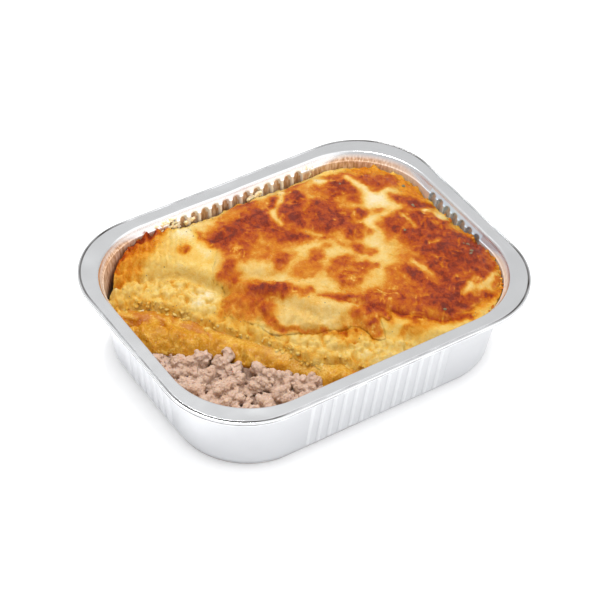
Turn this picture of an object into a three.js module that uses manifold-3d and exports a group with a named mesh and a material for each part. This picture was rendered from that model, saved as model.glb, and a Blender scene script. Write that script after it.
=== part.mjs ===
// A ready meal in a foil tray: minced meat, vegetable puree and mashed potato in layers under melted, browned
// cheese. Millimetres, +Z up. The origin is on the table, under the middle of the tray; +X is along its length.
// One corner (-X, -Y) is scooped away in steps, so that each layer shows.
import * as THREE from "three";
import { mergeVertices } from "three/addons/utils/BufferGeometryUtils.js";
import Module from "manifold-3d";

const wasm = await Module();
wasm.setup();

// ---- Tray: driving sizes ----
const RIM_Z = 38; // top of the flange
const MOUTH_LENGTH = 149; // the mouth, at the crease where wall meets flange
const MOUTH_WIDTH = 112.6;
const MOUTH_RADIUS = 33;
const WALL_DRAFT = 0.134; // how far the wall leans in, per millimetre down
const RADIUS_PER_OFFSET = 0.75; // how the corner radius follows an inward offset
const FOIL = 0.5; // wall thickness
const FLANGE_WIDTH = 4.8;
const FLANGE_RADIUS = 32; // corner radius of the flange's outer edge
const CURL_RADIUS = 1.25; // outer radius of the edge that is rolled under
const CURL_OVERHANG = 0.4; // how far the middle of the roll is outside the flange
const CURL_INNER_ANGLES = [90, 0, -90, -180]; // degrees from straight out, along the roll's inner face
const CURL_OUTER_ANGLES = [-180, -130, -80, -30, 20, 90];
// Rounding between wall and flange: [offset from the mouth, drop below the top of the flange].
const OUTER_CREASE = [[0.1, 1.6], [1.6, 0.5]];
const INNER_CREASE = [[1.12, 0], [-0.1, 0.48], [-0.6, 1.6]];
const BASE_FILLET = 2.75;
const FILLET_ANGLES = [0, 30, 60];
const CORNER_STEPS = 8;
const FLUTE_PITCH = 5;
const FLUTE_DEPTH = 0.8;
const FLUTE_TOP_Z = 35.6;
const FLUTE_BOTTOM_Z = 4;
const FLUTE_RUN_OUT = 1.6; // height over which a flute fades at its two ends
const LONG_FLUTES = 13;
const SHORT_FLUTES = 7;
const FLUTE_SHAPE = [[-2.0, 0], [-1.4, 1], [1.4, 1], [2.0, 0]]; // place along the wall, share of the depth

// ---- Food: driving sizes ----
const GAP = 0.3; // air between touching pieces
const WALL_GAP = 0.6; // between food and foil
const FLOOR_Z = FOIL + GAP;
const MINCE_TOP_Z = 18.4;
const SCOOPED_MINCE_Z = 15.4; // top of the core under the loose clumps
const MINCE_BUMP = 1.6; // unevenness of the core between its clumps
const MINCE_LEDGE = [-2.6, -0.5]; // where the core rises in front of the puree, as distances inside the puree
const PUREE_TOP_Z = 24;
const MASH_TOP_Z = 34;
const MASH_DOME = 1; // how much higher the mash is in the middle
const DOME_HALF_LENGTH = 75;
const DOME_HALF_WIDTH = 57;
const MASH_UNEVENNESS = 0.4;
const SCOOP_ANGLE = THREE.MathUtils.degToRad(46.7); // direction from the scooped corner into the tray
// Edges of the scoop: [place along the edge, distance along the scoop direction].
const PUREE_EDGE = [
  [-62, -39.5], [-44, -37.5], [-29, -37], [-23, -36], [-18, -38], [-9, -36.5], [-1, -38.5], [6, -38.5],
  [12, -41], [18, -44], [34, -47],
];
const MASH_EDGE = [
  [-75, -23], [-57, -20], [-44, -21.5], [-31, -25.5], [-19, -28], [-9, -29.8], [-2, -31.5], [4.5, -34],
  [9.5, -35.8], [16, -35], [22, -33.5], [27, -36], [45, -37],
];
// Slope of the mash inwards from its edge: [distance, share of the full height].
const MASH_SLOPE = [[0, 0.02], [2.5, 0.22], [9, 0.42], [15, 0.55], [21, 0.88], [30, 1]];
// Height of the mash at the wall, by direction from the middle in degrees: [direction, height].
const WALL_HEIGHTS = [
  [-180, 29], [-120, 31], [-75, 33], [-50, 33.5], [-37, 34.5], [-22, 33.5], [-10, 32.8], [-1, 29.8],
  [11, 29.4], [23, 30.6], [33, 31.4], [42, 29.2], [55, 27.9], [66, 27.4], [80, 28], [90, 28.3],
  [104, 27], [118, 32.6], [130, 33], [142, 29], [180, 29],
];
const SHOULDER_WIDTH = 9; // over which the mash rounds down to the wall
// Swells and hollows: [x, y, half length, half width, turn in degrees, height].
const MASH_SWELLS = [
  [-8, -18, 16, 8.5, -40, 3.4], [-16, 1, 12, 4.5, -32, 1.8], [-52, 24, 20, 6, -28, 2.2],
  [-48, 42, 13, 8, 20, 1.2], [15, 36, 20, 9, 12, 1.6], [28, 22, 14, 8, 70, 1.2],
  [60, -14, 10, 15, 0, 1.4], [40, -38, 22, 7, 4, 0.8], [17, -43, 8, 4, 8, 1],
  [-15, 10, 20, 3.2, -34, -2.2], [-36, 20, 10, 3, -40, -2.4], [32, 0, 12, 7, -30, -1.2],
  [9, -12, 9, 3, -45, -1.4], [30, -24, 10, 6, 20, -0.8],
];
const PUREE_SWELLS = [
  [-57, 12, 9, 4.5, -30, 1.6], [-42, -1, 8, 4, -50, 1.4], [-28, -17, 7, 4.5, -40, 1.6],
  [-13, -38, 9, 3.2, 8, 1.8],
];
const SWELL_FALL = 1.2; // how steeply a swell falls off towards its rim
const PUREE_LEDGE = [-1, 8]; // where the puree rises from the mince, as distances inside its edge
const PUREE_LEDGE_LIFT = 1.2; // height of its edge above the mince
const PUREE_OPEN = [-3.5, -0.8]; // where the mash begins to cover it, as distances inside the mash
const PUREE_OPEN_DROP = 0.6; // how much lower it is where no mash covers it
const PUREE_OPEN_RISE = 1.6; // how high its swells may stand above its top
const PUREE_UNEVENNESS = 0.35;
const CHEESE_OUTLINE = [
  [74, 0], [70, 10], [64, 17], [60, 22], [59, 31], [55, 39], [50, 45], [42, 48], [34, 53], [20, 60],
  [-5, 58], [-20, 46], [-20, 34], [-29, 22], [-37, 6], [-30, -5], [-25, -18], [-13, -27], [0, -30.5],
  [5, -39], [9, -39], [13, -33], [20, -44], [40, -52], [60, -46], [70, -36],
];
const CHEESE_OUTLINE_POINTS = 54;
const CHEESE_WALL_GAP = 2.2; // between cheese and foil
const CHEESE_THICKNESS = 1.4;
const CHEESE_BLISTER = 0.35; // how much the thickness varies
const CLUMP_RADIUS = 4.1; // mean radius of a clump of mince
const CLUMP_SIZES = [0.8, 1.15]; // shares of the mean radius
const SMALLER_TRIES = [1, 0.8, 0.6]; // a clump that doesn't fit is tried again smaller
const CLUMP_STRETCH = [[0.85, 1.3], [0.8, 1.05], [0.75, 1]]; // ranges of its three lengths
const CLUMP_LIFT = [0.2, 1.6]; // height of a clump's middle above the core
const CLUMP_SPACING = 6.9;
const CLUMP_JITTER = 6.2;
const CLUMP_ROWS = 7;
const CLUMP_ROW_SPACING = 6;
const CLUMP_ROW_ENDS = [-66, 40]; // places along the scoop
const UPPER_CLUMP_SHARE = 0.3; // share of the clumps that lie on others
const UPPER_CLUMP_LIFT = 2.9;
const EDGE_CLEARANCE = 0.4; // between the first row of clumps and the puree
const CLUMP_PUREE_GAP = 1.4; // between any other clump and the puree
const SEED = 11;

// ---- Grid of the food's surfaces: finer across the slopes of the scoop ----
const GRID_REACH = 98; // past the tray's corners
const SLOPES = [-42, -6]; // distances along the scoop direction
const SLOPE_STEP = 2.8;
const STEP_IN_SCOOP = 12;
const STEP_BEHIND = 5.6;
const STEP_ALONG = 5.8;
const BELOW = 2; // how far a block reaches below the layer that is cut from it
const ABOVE = 4; // how far the tray's filling reaches above the rim
const MERGE_DISTANCE = 1e-4;

// ---- Materials ----
const foilMaterial = new THREE.MeshStandardMaterial({ color: 0xd6d7d9, metalness: 1, roughness: 0.28 });
const minceMaterial = new THREE.MeshStandardMaterial({ color: 0xc9a997, metalness: 0, roughness: 0.75 });
const pureeMaterial = new THREE.MeshStandardMaterial({ color: 0xd9922f, metalness: 0, roughness: 0.4 });
const mashMaterial = new THREE.MeshStandardMaterial({ color: 0xecc565, metalness: 0, roughness: 0.7 });
const cheeseMaterial = new THREE.MeshStandardMaterial({ color: 0xc06a1e, metalness: 0, roughness: 0.35 });

// ---- Small helpers ----
const { clamp, lerp, smoothstep, seededRandom } = THREE.MathUtils;

// Smooth curve through [place, value] pairs.
function through(pairs, place) {
  if (place <= pairs[0][0]) return pairs[0][1];
  for (let i = 1; i < pairs.length; i++) {
    if (place <= pairs[i][0]) {
      const share = smoothstep(place, pairs[i - 1][0], pairs[i][0]);
      return lerp(pairs[i - 1][1], pairs[i][1], share);
    }
  }
  return pairs[pairs.length - 1][1];
}

// Sum of soft-edged oval swells at (x, y).
function swells(list, x, y) {
  let height = 0;
  for (const [cx, cy, halfLength, halfWidth, turn, rise] of list) {
    const a = THREE.MathUtils.degToRad(turn);
    const u = ((x - cx) * Math.cos(a) + (y - cy) * Math.sin(a)) / halfLength;
    const v = ((y - cy) * Math.cos(a) - (x - cx) * Math.sin(a)) / halfWidth;
    height += rise * Math.exp(-(u * u + v * v) * SWELL_FALL);
  }
  return height;
}

// Gentle unevenness between -1 and 1, made of crossing waves about 12 mm long.
function unevenness(x, y) {
  return (
    (Math.sin(0.52 * x + 0.9 * Math.sin(0.31 * y)) +
      Math.sin(0.47 * y + 1.7 + 0.8 * Math.sin(0.38 * x)) +
      Math.sin(0.36 * (x + y) + 4.1)) / 3
  );
}

const acrossScoop = (x, y) => x * Math.cos(SCOOP_ANGLE) + y * Math.sin(SCOOP_ANGLE);
const alongScoop = (x, y) => x * Math.sin(SCOOP_ANGLE) - y * Math.cos(SCOOP_ANGLE);
const insideMash = (x, y) => acrossScoop(x, y) - through(MASH_EDGE, alongScoop(x, y));
const insidePuree = (x, y) => acrossScoop(x, y) - through(PUREE_EDGE, alongScoop(x, y));

// ---- Tray outlines ----
// Offset of the wall's outer face from the mouth at a height, negative inwards.
const wallOffset = (z) => -WALL_DRAFT * (RIM_Z - z);

function cornerRadius(offset) {
  if (offset <= 0) return MOUTH_RADIUS + RADIUS_PER_OFFSET * offset;
  if (offset <= FLANGE_WIDTH) return lerp(MOUTH_RADIUS, FLANGE_RADIUS, offset / FLANGE_WIDTH);
  return FLANGE_RADIUS + offset - FLANGE_WIDTH;
}

// How far (x, y) is inside the tray's outline at an offset; negative outside.
function insideTray(x, y, offset) {
  const r = cornerRadius(offset);
  const dx = Math.abs(x) - (MOUTH_LENGTH / 2 + offset - r);
  const dy = Math.abs(y) - (MOUTH_WIDTH / 2 + offset - r);
  return r - Math.hypot(Math.max(dx, 0), Math.max(dy, 0)) - Math.min(Math.max(dx, dy), 0);
}

// Places round a ring, for stitching: a side is 1 long, first its flutes and then its corner.
const FLUTES_MIDDLE = 0.25;
const FLUTES_SPAN = 0.35;
const CORNER_START = 0.6;
const CORNER_SPAN = 0.3;

// One closed ring of the tray at a height. With a flute depth, even of 0, it has the points of the flutes.
function trayRing(offset, z, fluteDepth = null) {
  const r = cornerRadius(offset);
  const halfLength = MOUTH_LENGTH / 2 + offset;
  const halfWidth = MOUTH_WIDTH / 2 + offset;
  const sides = [
    { half: halfLength, reach: halfWidth, turn: -Math.PI / 2, flutes: LONG_FLUTES },
    { half: halfWidth, reach: halfLength, turn: 0, flutes: SHORT_FLUTES },
    { half: halfLength, reach: halfWidth, turn: Math.PI / 2, flutes: LONG_FLUTES },
    { half: halfWidth, reach: halfLength, turn: Math.PI, flutes: SHORT_FLUTES },
  ];
  const ring = [];
  sides.forEach(({ half, reach, turn, flutes }, side) => {
    // "out" points out of this side and "on" runs along it, counter-clockwise seen from above.
    const out = new THREE.Vector2(Math.cos(turn), Math.sin(turn));
    const on = new THREE.Vector2(-out.y, out.x);
    const add = (along, away, place) => {
      const p = new THREE.Vector3(on.x * along + out.x * away, on.y * along + out.y * away, z);
      p.place = side + place;
      ring.push(p);
    };
    if (fluteDepth !== null) {
      for (let flute = 0; flute < flutes; flute++) {
        const middle = (flute - (flutes - 1) / 2) * FLUTE_PITCH;
        for (const [along, share] of FLUTE_SHAPE) {
          const place = FLUTES_MIDDLE + (FLUTES_SPAN * (middle + along)) / (half - r);
          add(middle + along, reach + fluteDepth * share, place);
        }
      }
    }
    for (let step = 0; step <= CORNER_STEPS; step++) {
      const a = (step / CORNER_STEPS) * (Math.PI / 2);
      const place = CORNER_START + (CORNER_SPAN * step) / CORNER_STEPS;
      add(half - r + r * Math.sin(a), reach - r + r * Math.cos(a), place);
    }
  });
  return ring;
}

// ---- Meshes from rings ----
// Joins consecutive closed rings, whose point counts may differ, and closes both ends with a fan.
function ringSolid(rings) {
  const points = rings.flat();
  const triangles = [];
  const starts = [];
  let next = 0;
  for (const ring of rings) {
    starts.push(next);
    next += ring.length;
  }
  for (let i = 0; i + 1 < rings.length; i++) {
    stitch(rings[i], starts[i], rings[i + 1], starts[i + 1], triangles);
  }
  closeEnd(rings[0], starts[0], points, triangles, true);
  closeEnd(rings[rings.length - 1], starts[rings.length - 1], points, triangles, false);
  return geometryOf(points, triangles);
}

function stitch(lower, lowerStart, upper, upperStart, triangles) {
  let a = 0;
  let b = 0;
  const placeOf = (ring, i) => (i < ring.length ? ring[i].place : ring[i - ring.length].place + 4);
  while (a < lower.length || b < upper.length) {
    const lowerNow = lowerStart + (a % lower.length);
    const upperNow = upperStart + (b % upper.length);
    const lowerIsNext = a < lower.length && placeOf(lower, a + 1) < placeOf(upper, b + 1);
    if (b >= upper.length || lowerIsNext) {
      a++;
      triangles.push(lowerNow, lowerStart + (a % lower.length), upperNow);
    } else {
      b++;
      triangles.push(lowerNow, upperStart + (b % upper.length), upperNow);
    }
  }
}

function closeEnd(ring, start, points, triangles, facesDown) {
  const middle = new THREE.Vector3();
  for (const p of ring) middle.addScaledVector(p, 1 / ring.length);
  const hub = points.length;
  points.push(middle);
  for (let i = 0; i < ring.length; i++) {
    const j = (i + 1) % ring.length;
    if (facesDown) triangles.push(hub, start + j, start + i);
    else triangles.push(hub, start + i, start + j);
  }
}

function geometryOf(points, triangles) {
  const geometry = new THREE.BufferGeometry().setFromPoints(points);
  geometry.setIndex(triangles);
  return geometry;
}

// ---- Foil tray ----
function foilTray() {
  const inner = (z) => wallOffset(z) - FOIL;
  const fadeTop = FLUTE_TOP_Z - FLUTE_RUN_OUT;
  const fadeBottom = FLUTE_BOTTOM_Z + FLUTE_RUN_OUT;
  // The edge curls down and under round this middle line.
  const curlOffset = FLANGE_WIDTH + CURL_OVERHANG;
  const curlZ = RIM_Z - CURL_RADIUS;
  const curl = (radius, degrees) => {
    const t = THREE.MathUtils.degToRad(degrees);
    return trayRing(curlOffset + radius * Math.cos(t), curlZ + radius * Math.sin(t));
  };
  const fillet = (degrees) => {
    const t = THREE.MathUtils.degToRad(degrees);
    return trayRing(wallOffset(0) - BASE_FILLET * (1 - Math.sin(t)), BASE_FILLET * (1 - Math.cos(t)));
  };
  return ringSolid([
    // Outside, from the base up.
    ...FILLET_ANGLES.map(fillet),
    trayRing(wallOffset(BASE_FILLET), BASE_FILLET),
    trayRing(wallOffset(FLUTE_BOTTOM_Z), FLUTE_BOTTOM_Z, 0),
    trayRing(wallOffset(fadeBottom), fadeBottom, FLUTE_DEPTH),
    trayRing(wallOffset(fadeTop), fadeTop, FLUTE_DEPTH),
    trayRing(wallOffset(FLUTE_TOP_Z), FLUTE_TOP_Z, 0),
    ...OUTER_CREASE.map(([offset, drop]) => trayRing(offset, RIM_Z - drop)),
    // The roll, inner face out and outer face back.
    ...CURL_INNER_ANGLES.map((a) => curl(CURL_RADIUS - FOIL, a)),
    ...CURL_OUTER_ANGLES.map((a) => curl(CURL_RADIUS, a)),
    // Inside, from the flange down.
    ...INNER_CREASE.map(([offset, drop]) => trayRing(offset, RIM_Z - drop)),
    trayRing(inner(FLUTE_TOP_Z), FLUTE_TOP_Z, 0),
    trayRing(inner(fadeTop), fadeTop, FLUTE_DEPTH),
    trayRing(inner(fadeBottom), fadeBottom, FLUTE_DEPTH),
    trayRing(inner(FLUTE_BOTTOM_Z), FLUTE_BOTTOM_Z, 0),
    trayRing(wallOffset(0) - BASE_FILLET, FOIL),
  ]);
}

// ---- Solids that are joined or cut ----
function solidOf(geometry) {
  const bare = geometry.clone();
  bare.deleteAttribute("normal");
  bare.deleteAttribute("uv");
  const merged = mergeVertices(bare, MERGE_DISTANCE);
  return new wasm.Manifold(
    new wasm.Mesh({
      numProp: 3,
      vertProperties: merged.attributes.position.array,
      triVerts: new Uint32Array(merged.index.array),
    }),
  );
}

function geometryFromSolid(solid) {
  const mesh = solid.getMesh();
  const geometry = new THREE.BufferGeometry();
  geometry.setAttribute("position", new THREE.BufferAttribute(mesh.vertProperties, 3));
  geometry.setIndex(new THREE.BufferAttribute(mesh.triVerts, 1));
  return geometry;
}

const largestBody = (solid) => solid.decompose().reduce((a, b) => (a.volume() > b.volume() ? a : b));

// A block between a floor and a surface above it. Its grid is turned to run across and along the scoop.
function block(heightAt, floorAt) {
  const points = [];
  const triangles = [];
  const columns = GRID_ACROSS.length;
  const rows = GRID_ALONG.length;
  const turn = new THREE.Vector2(Math.cos(SCOOP_ANGLE), Math.sin(SCOOP_ANGLE));
  for (const surface of [heightAt, floorAt]) {
    for (const along of GRID_ALONG) {
      for (const across of GRID_ACROSS) {
        const x = across * turn.x - along * turn.y;
        const y = across * turn.y + along * turn.x;
        points.push(new THREE.Vector3(x, y, surface(x, y)));
      }
    }
  }
  const upper = (i, j) => j * columns + i;
  const lower = (i, j) => columns * rows + j * columns + i;
  const quad = (a, b, c, d) => triangles.push(a, b, c, a, c, d);
  for (let j = 0; j + 1 < rows; j++) {
    for (let i = 0; i + 1 < columns; i++) {
      quad(upper(i, j), upper(i + 1, j), upper(i + 1, j + 1), upper(i, j + 1));
      // The same diagonal as above it, seen from below.
      quad(lower(i, j), lower(i, j + 1), lower(i + 1, j + 1), lower(i + 1, j));
    }
  }
  const side = (i, j, k, l) => quad(lower(i, j), lower(k, l), upper(k, l), upper(i, j));
  for (let i = 0; i + 1 < columns; i++) {
    side(i, 0, i + 1, 0);
    side(i + 1, rows - 1, i, rows - 1);
  }
  for (let j = 0; j + 1 < rows; j++) {
    side(0, j + 1, 0, j);
    side(columns - 1, j, columns - 1, j + 1);
  }
  return solidOf(geometryOf(points, triangles));
}

const gridLines = (from, to, step) => {
  const count = Math.round((to - from) / step);
  return Array.from({ length: count + 1 }, (_, i) => lerp(from, to, i / count));
};
const GRID_ACROSS = [
  ...gridLines(-GRID_REACH, SLOPES[0] - SLOPE_STEP, STEP_IN_SCOOP),
  ...gridLines(...SLOPES, SLOPE_STEP),
  ...gridLines(SLOPES[1] + STEP_BEHIND, GRID_REACH, STEP_BEHIND),
];
const GRID_ALONG = gridLines(-GRID_REACH, GRID_REACH, STEP_ALONG);

// The inside of the tray, up past the rim, less a gap.
function trayFilling(gap) {
  const ring = (offset, z) => trayRing(offset - gap, z);
  const top = RIM_Z + ABOVE;
  return solidOf(
    ringSolid([
      ring(wallOffset(0) - BASE_FILLET, FLOOR_Z),
      ring(wallOffset(BASE_FILLET) - FOIL, BASE_FILLET + FLOOR_Z),
      ring(wallOffset(top) - FOIL, top),
    ]),
  );
}

// ---- Food surfaces ----
const insideFoil = (x, y) => insideTray(x, y, wallOffset(MASH_TOP_Z) - FOIL);

function mashTop(x, y) {
  const distance = insideFoil(x, y);
  const dome = MASH_DOME * (1 - (x / DOME_HALF_LENGTH) ** 2) * (1 - (y / DOME_HALF_WIDTH) ** 2);
  const middle = MASH_TOP_Z + dome + swells(MASH_SWELLS, x, y) + MASH_UNEVENNESS * unevenness(x, y);
  const wallHeight = through(WALL_HEIGHTS, THREE.MathUtils.radToDeg(Math.atan2(y, x)));
  const rounding = Math.sqrt(1 - (1 - clamp(distance / SHOULDER_WIDTH, 0, 1)) ** 2);
  const full = lerp(Math.min(wallHeight, middle), middle, rounding);
  const inside = insideMash(x, y);
  // Outside its edge the surface is lower than the layer's floor, so that nothing is left there.
  return inside < 0 ? PUREE_TOP_Z - BELOW : lerp(PUREE_TOP_Z, full, through(MASH_SLOPE, inside));
}

function pureeTop(x, y) {
  const inside = insidePuree(x, y);
  if (inside < 0) return MINCE_TOP_Z - BELOW;
  const ledge = smoothstep(inside, ...PUREE_LEDGE);
  const open = 1 - smoothstep(insideMash(x, y), ...PUREE_OPEN);
  const rise = swells(PUREE_SWELLS, x, y) + PUREE_UNEVENNESS * unevenness(2 * x, 2 * y);
  const level = lerp(MINCE_TOP_Z + PUREE_LEDGE_LIFT, PUREE_TOP_Z - PUREE_OPEN_DROP * open, ledge);
  return Math.min(level + rise * open * ledge, PUREE_TOP_Z + PUREE_OPEN_RISE * open);
}

function minceTop(x, y) {
  const covered = smoothstep(insidePuree(x, y), ...MINCE_LEDGE);
  return lerp(SCOOPED_MINCE_Z + MINCE_BUMP * unevenness(2 * x, 2 * y), MINCE_TOP_Z, covered);
}

// ---- Food layers ----
function layer(heightAt, floorZ) {
  const surface = (x, y) => Math.max(heightAt(x, y), floorZ - BELOW);
  const whole = block(surface, () => floorZ - 2 * BELOW);
  return largestBody(whole.intersect(aboveLevel(floorZ)).intersect(trayFilling(WALL_GAP)));
}

// Everything above a level.
function aboveLevel(z) {
  const depth = 2 * RIM_Z;
  const box = new THREE.BoxGeometry(2 * MOUTH_LENGTH, 2 * MOUTH_WIDTH, depth);
  return solidOf(box.translate(0, 0, z + depth / 2));
}

function meltedCheese() {
  const under = (x, y) => mashTop(x, y) + GAP;
  const top = (x, y) => under(x, y) + CHEESE_THICKNESS + CHEESE_BLISTER * unevenness(2 * x, 2 * y);
  const corners = [...CHEESE_OUTLINE, CHEESE_OUTLINE[0]].map(([x, y]) => new THREE.Vector2(x, y));
  const outline = new THREE.SplineCurve(corners).getSpacedPoints(CHEESE_OUTLINE_POINTS).slice(0, -1);
  const settings = { depth: 2 * RIM_Z, bevelEnabled: false };
  const cutter = solidOf(new THREE.ExtrudeGeometry(new THREE.Shape(outline), settings));
  const sheet = block(top, under).intersect(cutter).intersect(aboveLevel(PUREE_TOP_Z + BELOW));
  return largestBody(sheet.intersect(trayFilling(CHEESE_WALL_GAP)));
}

const between = ([low, high]) => lerp(low, high, seededRandom());

// An irregular clump: a faceted ball pushed in and out.
function clump(centre, radius) {
  const geometry = new THREE.SphereGeometry(1, 6, 4);
  const position = geometry.attributes.position;
  const p = new THREE.Vector3();
  const turn = new THREE.Euler(...[0, 0, 0].map(() => 2 * Math.PI * seededRandom()));
  const stretch = new THREE.Vector3(...CLUMP_STRETCH.map(between));
  const phase = 2 * Math.PI * seededRandom();
  for (let i = 0; i < position.count; i++) {
    p.fromBufferAttribute(position, i);
    const wide = 0.2 * Math.sin(3.1 * p.x + phase) * Math.cos(2.7 * p.y + 2 * phase);
    const fine = 0.12 * Math.sin(5.3 * p.z + phase);
    p.multiplyScalar(radius * (1 + wide + fine)).multiply(stretch).applyEuler(turn);
    position.setXYZ(i, p.x + centre[0], p.y + centre[1], p.z + centre[2]);
  }
  return geometry;
}

// A clump is kept only where it clears the foil and the layers above.
function clears(geometry) {
  const position = geometry.attributes.position;
  for (let i = 0; i < position.count; i++) {
    const [x, y, z] = [position.getX(i), position.getY(i), position.getZ(i)];
    if (insideTray(x, y, wallOffset(z) - FOIL) < WALL_GAP) return false;
    if (z > MINCE_TOP_Z - CLUMP_PUREE_GAP && insidePuree(x, y) > -CLUMP_PUREE_GAP) return false;
  }
  return true;
}

// Places of the clumps: a row along the puree, then a jittered grid over the rest of the scooped corner.
function clumpPlaces() {
  const places = [];
  const jitter = () => CLUMP_JITTER * (seededRandom() - 0.5);
  const first = CLUMP_RADIUS + EDGE_CLEARANCE;
  for (let row = 0; row < CLUMP_ROWS; row++) {
    for (const along of gridLines(...CLUMP_ROW_ENDS, CLUMP_SPACING)) {
      const back = first + row * CLUMP_ROW_SPACING + (row ? jitter() / 2 : 0);
      const across = through(PUREE_EDGE, along) - back;
      const place = along + (row % 2) * (CLUMP_SPACING / 2) + (row ? jitter() : 0);
      places.push([
        across * Math.cos(SCOOP_ANGLE) + place * Math.sin(SCOOP_ANGLE),
        across * Math.sin(SCOOP_ANGLE) - place * Math.cos(SCOOP_ANGLE),
      ]);
    }
  }
  return places;
}

function mincedMeat() {
  seededRandom(SEED);
  let heap = layer(minceTop, FLOOR_Z);
  for (const [x, y] of clumpPlaces()) {
    const upper = seededRandom() < UPPER_CLUMP_SHARE ? UPPER_CLUMP_LIFT : 0;
    const radius = CLUMP_RADIUS * between(CLUMP_SIZES);
    const centre = [x, y, SCOOPED_MINCE_Z + between(CLUMP_LIFT) + upper];
    const fitting = SMALLER_TRIES.map((share) => clump(centre, radius * share)).find(clears);
    if (fitting) heap = heap.add(solidOf(fitting));
  }
  return largestBody(heap);
}

// ---- The meal ----
const meal = new THREE.Group();

function addPiece(name, geometry, material) {
  const piece = new THREE.Mesh(geometry, material);
  piece.name = name;
  meal.add(piece);
}

addPiece("foil_tray", foilTray(), foilMaterial);
addPiece("minced_meat", geometryFromSolid(mincedMeat()), minceMaterial);
addPiece("vegetable_puree", geometryFromSolid(layer(pureeTop, MINCE_TOP_Z + GAP)), pureeMaterial);
addPiece("potato_mash", geometryFromSolid(layer(mashTop, PUREE_TOP_Z + GAP)), mashMaterial);
addPiece("melted_cheese", geometryFromSolid(meltedCheese()), cheeseMaterial);

export default meal;
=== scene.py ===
# %% [markdown]
# # A ready meal in its foil tray
#
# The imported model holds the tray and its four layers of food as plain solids: minced meat, an orange
# vegetable puree, mashed potato, and melted cheese on top. One corner is scooped away in steps, so that
# each layer shows. This lesson keeps every layer where its solid is, and gives it the surface that the real
# food has.

# %% Load the frame
import itertools
import math

import bpy
import numpy as np
from mathutils import Matrix, Vector


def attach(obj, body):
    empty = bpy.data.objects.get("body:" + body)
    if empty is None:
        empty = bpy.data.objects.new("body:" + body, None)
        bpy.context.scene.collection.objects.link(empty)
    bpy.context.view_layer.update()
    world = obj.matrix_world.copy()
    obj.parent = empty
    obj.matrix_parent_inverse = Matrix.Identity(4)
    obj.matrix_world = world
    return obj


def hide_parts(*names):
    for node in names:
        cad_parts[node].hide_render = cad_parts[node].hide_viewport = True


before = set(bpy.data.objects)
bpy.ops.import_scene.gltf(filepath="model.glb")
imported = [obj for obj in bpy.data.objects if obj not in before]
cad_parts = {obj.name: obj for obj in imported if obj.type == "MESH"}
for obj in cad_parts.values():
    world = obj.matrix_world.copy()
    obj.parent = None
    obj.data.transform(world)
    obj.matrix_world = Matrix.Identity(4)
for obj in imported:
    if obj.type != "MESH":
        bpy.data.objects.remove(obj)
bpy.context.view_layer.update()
print("solids:", ", ".join(sorted(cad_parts)))

# %% [markdown]
# ## Lengths and soft curves
#
# All sizes below are in millimetres, as a tray maker would write them, and become metres only when a mesh
# is made. A surface can be sculpted, simulated, or written as a height over the plan. A height function was
# chosen: it stays on its solid exactly, and every lump and crease is one named line that can be changed.

# %% Small helpers for heights
MM = 0.001


def smooth(value, low, high):
    """0 below low, 1 above high, and an even S between them."""
    share = np.clip((value - low) / (high - low), 0, 1)
    return share * share * (3 - 2 * share)


def between(a, b, share):
    return a + (b - a) * share


def through(pairs, place):
    """A smooth curve through (place, value) pairs."""
    value = np.full(np.shape(place), float(pairs[0][1]))
    for (start, before), (end, after) in zip(pairs, pairs[1:]):
        value = np.where(place > start, before + (after - before) * smooth(place, start, end), value)
    return value


def oval(p, x, y, half_length, half_width, turn):
    """How far each point is from an oval's middle: 1 on its rim."""
    a = math.radians(turn)
    u = ((p[:, 0] - x) * math.cos(a) + (p[:, 1] - y) * math.sin(a)) / half_length
    v = ((p[:, 1] - y) * math.cos(a) - (p[:, 0] - x) * math.sin(a)) / half_width
    return np.hypot(u, v)


def swells(p, ovals):
    """The sum of soft oval swells and hollows, each (x, y, half length, half width, turn, rise)."""
    return sum(rise * np.exp(-1.2 * oval(p, *place) ** 2) for *place, rise in ovals)


def to_path(p, path):
    """Distance from each point to a line through the points of a path."""
    nearest = np.full(len(p), 1e9)
    for start, end in zip(path, path[1:]):
        start, step = np.array(start, float), np.subtract(end, start).astype(float)
        share = np.clip(((p - start) @ step) / (step @ step), 0, 1)
        nearest = np.minimum(nearest, np.hypot(*(p - start - share[:, None] * step).T))
    return nearest


print("a swell's edge is at", round(float(np.exp(-1.2)), 2), "of its rise")

# %% [markdown]
# ## Random detail that never changes
#
# Food is uneven at every scale. Blender's own noise textures could move the surface, but only numbers
# worked out here can be shared by the shape, the browning and the crumbs. So this is a small noise of our
# own: a fixed random slope at each corner of a grid, blended smoothly. The same seed always gives the same
# food.

# %% Noise
def random_at(cells, seed):
    """A fixed random number from -1 to 1 for each cell, given by whole numbers."""
    mixed = np.full(cells.shape[:-1], seed * 668265263, np.int64)
    for axis in range(cells.shape[-1]):
        mixed = mixed + cells[..., axis] * (374761393, 1103515245, 2654435761)[axis]
    for shift in (13, 11):
        mixed = ((mixed ^ (mixed >> shift)) & 0xFFFFFFF) * 1274126177
    return ((mixed >> 9) & 0xFFFF) / 32767.5 - 1


def bumps(p, size, seed):
    """Smooth random bumps from about -1 to 1, about as wide as size."""
    place = p / size
    corner = np.floor(place).astype(np.int64)
    part = place - corner
    ease = part**3 * (part * (6 * part - 15) + 10)
    total = np.zeros(len(p))
    for step in itertools.product((0, 1), repeat=p.shape[1]):
        share = np.prod(np.where(step, ease, 1 - ease), axis=1)
        for axis in range(p.shape[1]):
            total += share * random_at(corner + step, seed + 31 * axis) * (part[:, axis] - step[axis])
    return 1.5 * total


def rough(p, size, seed, layers=3, fade=0.5):
    """Bumps on bumps: each layer is half as wide and a share as high."""
    return sum(fade**i * bumps(p, size / 2**i, seed + 101 * i) for i in range(layers))


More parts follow.
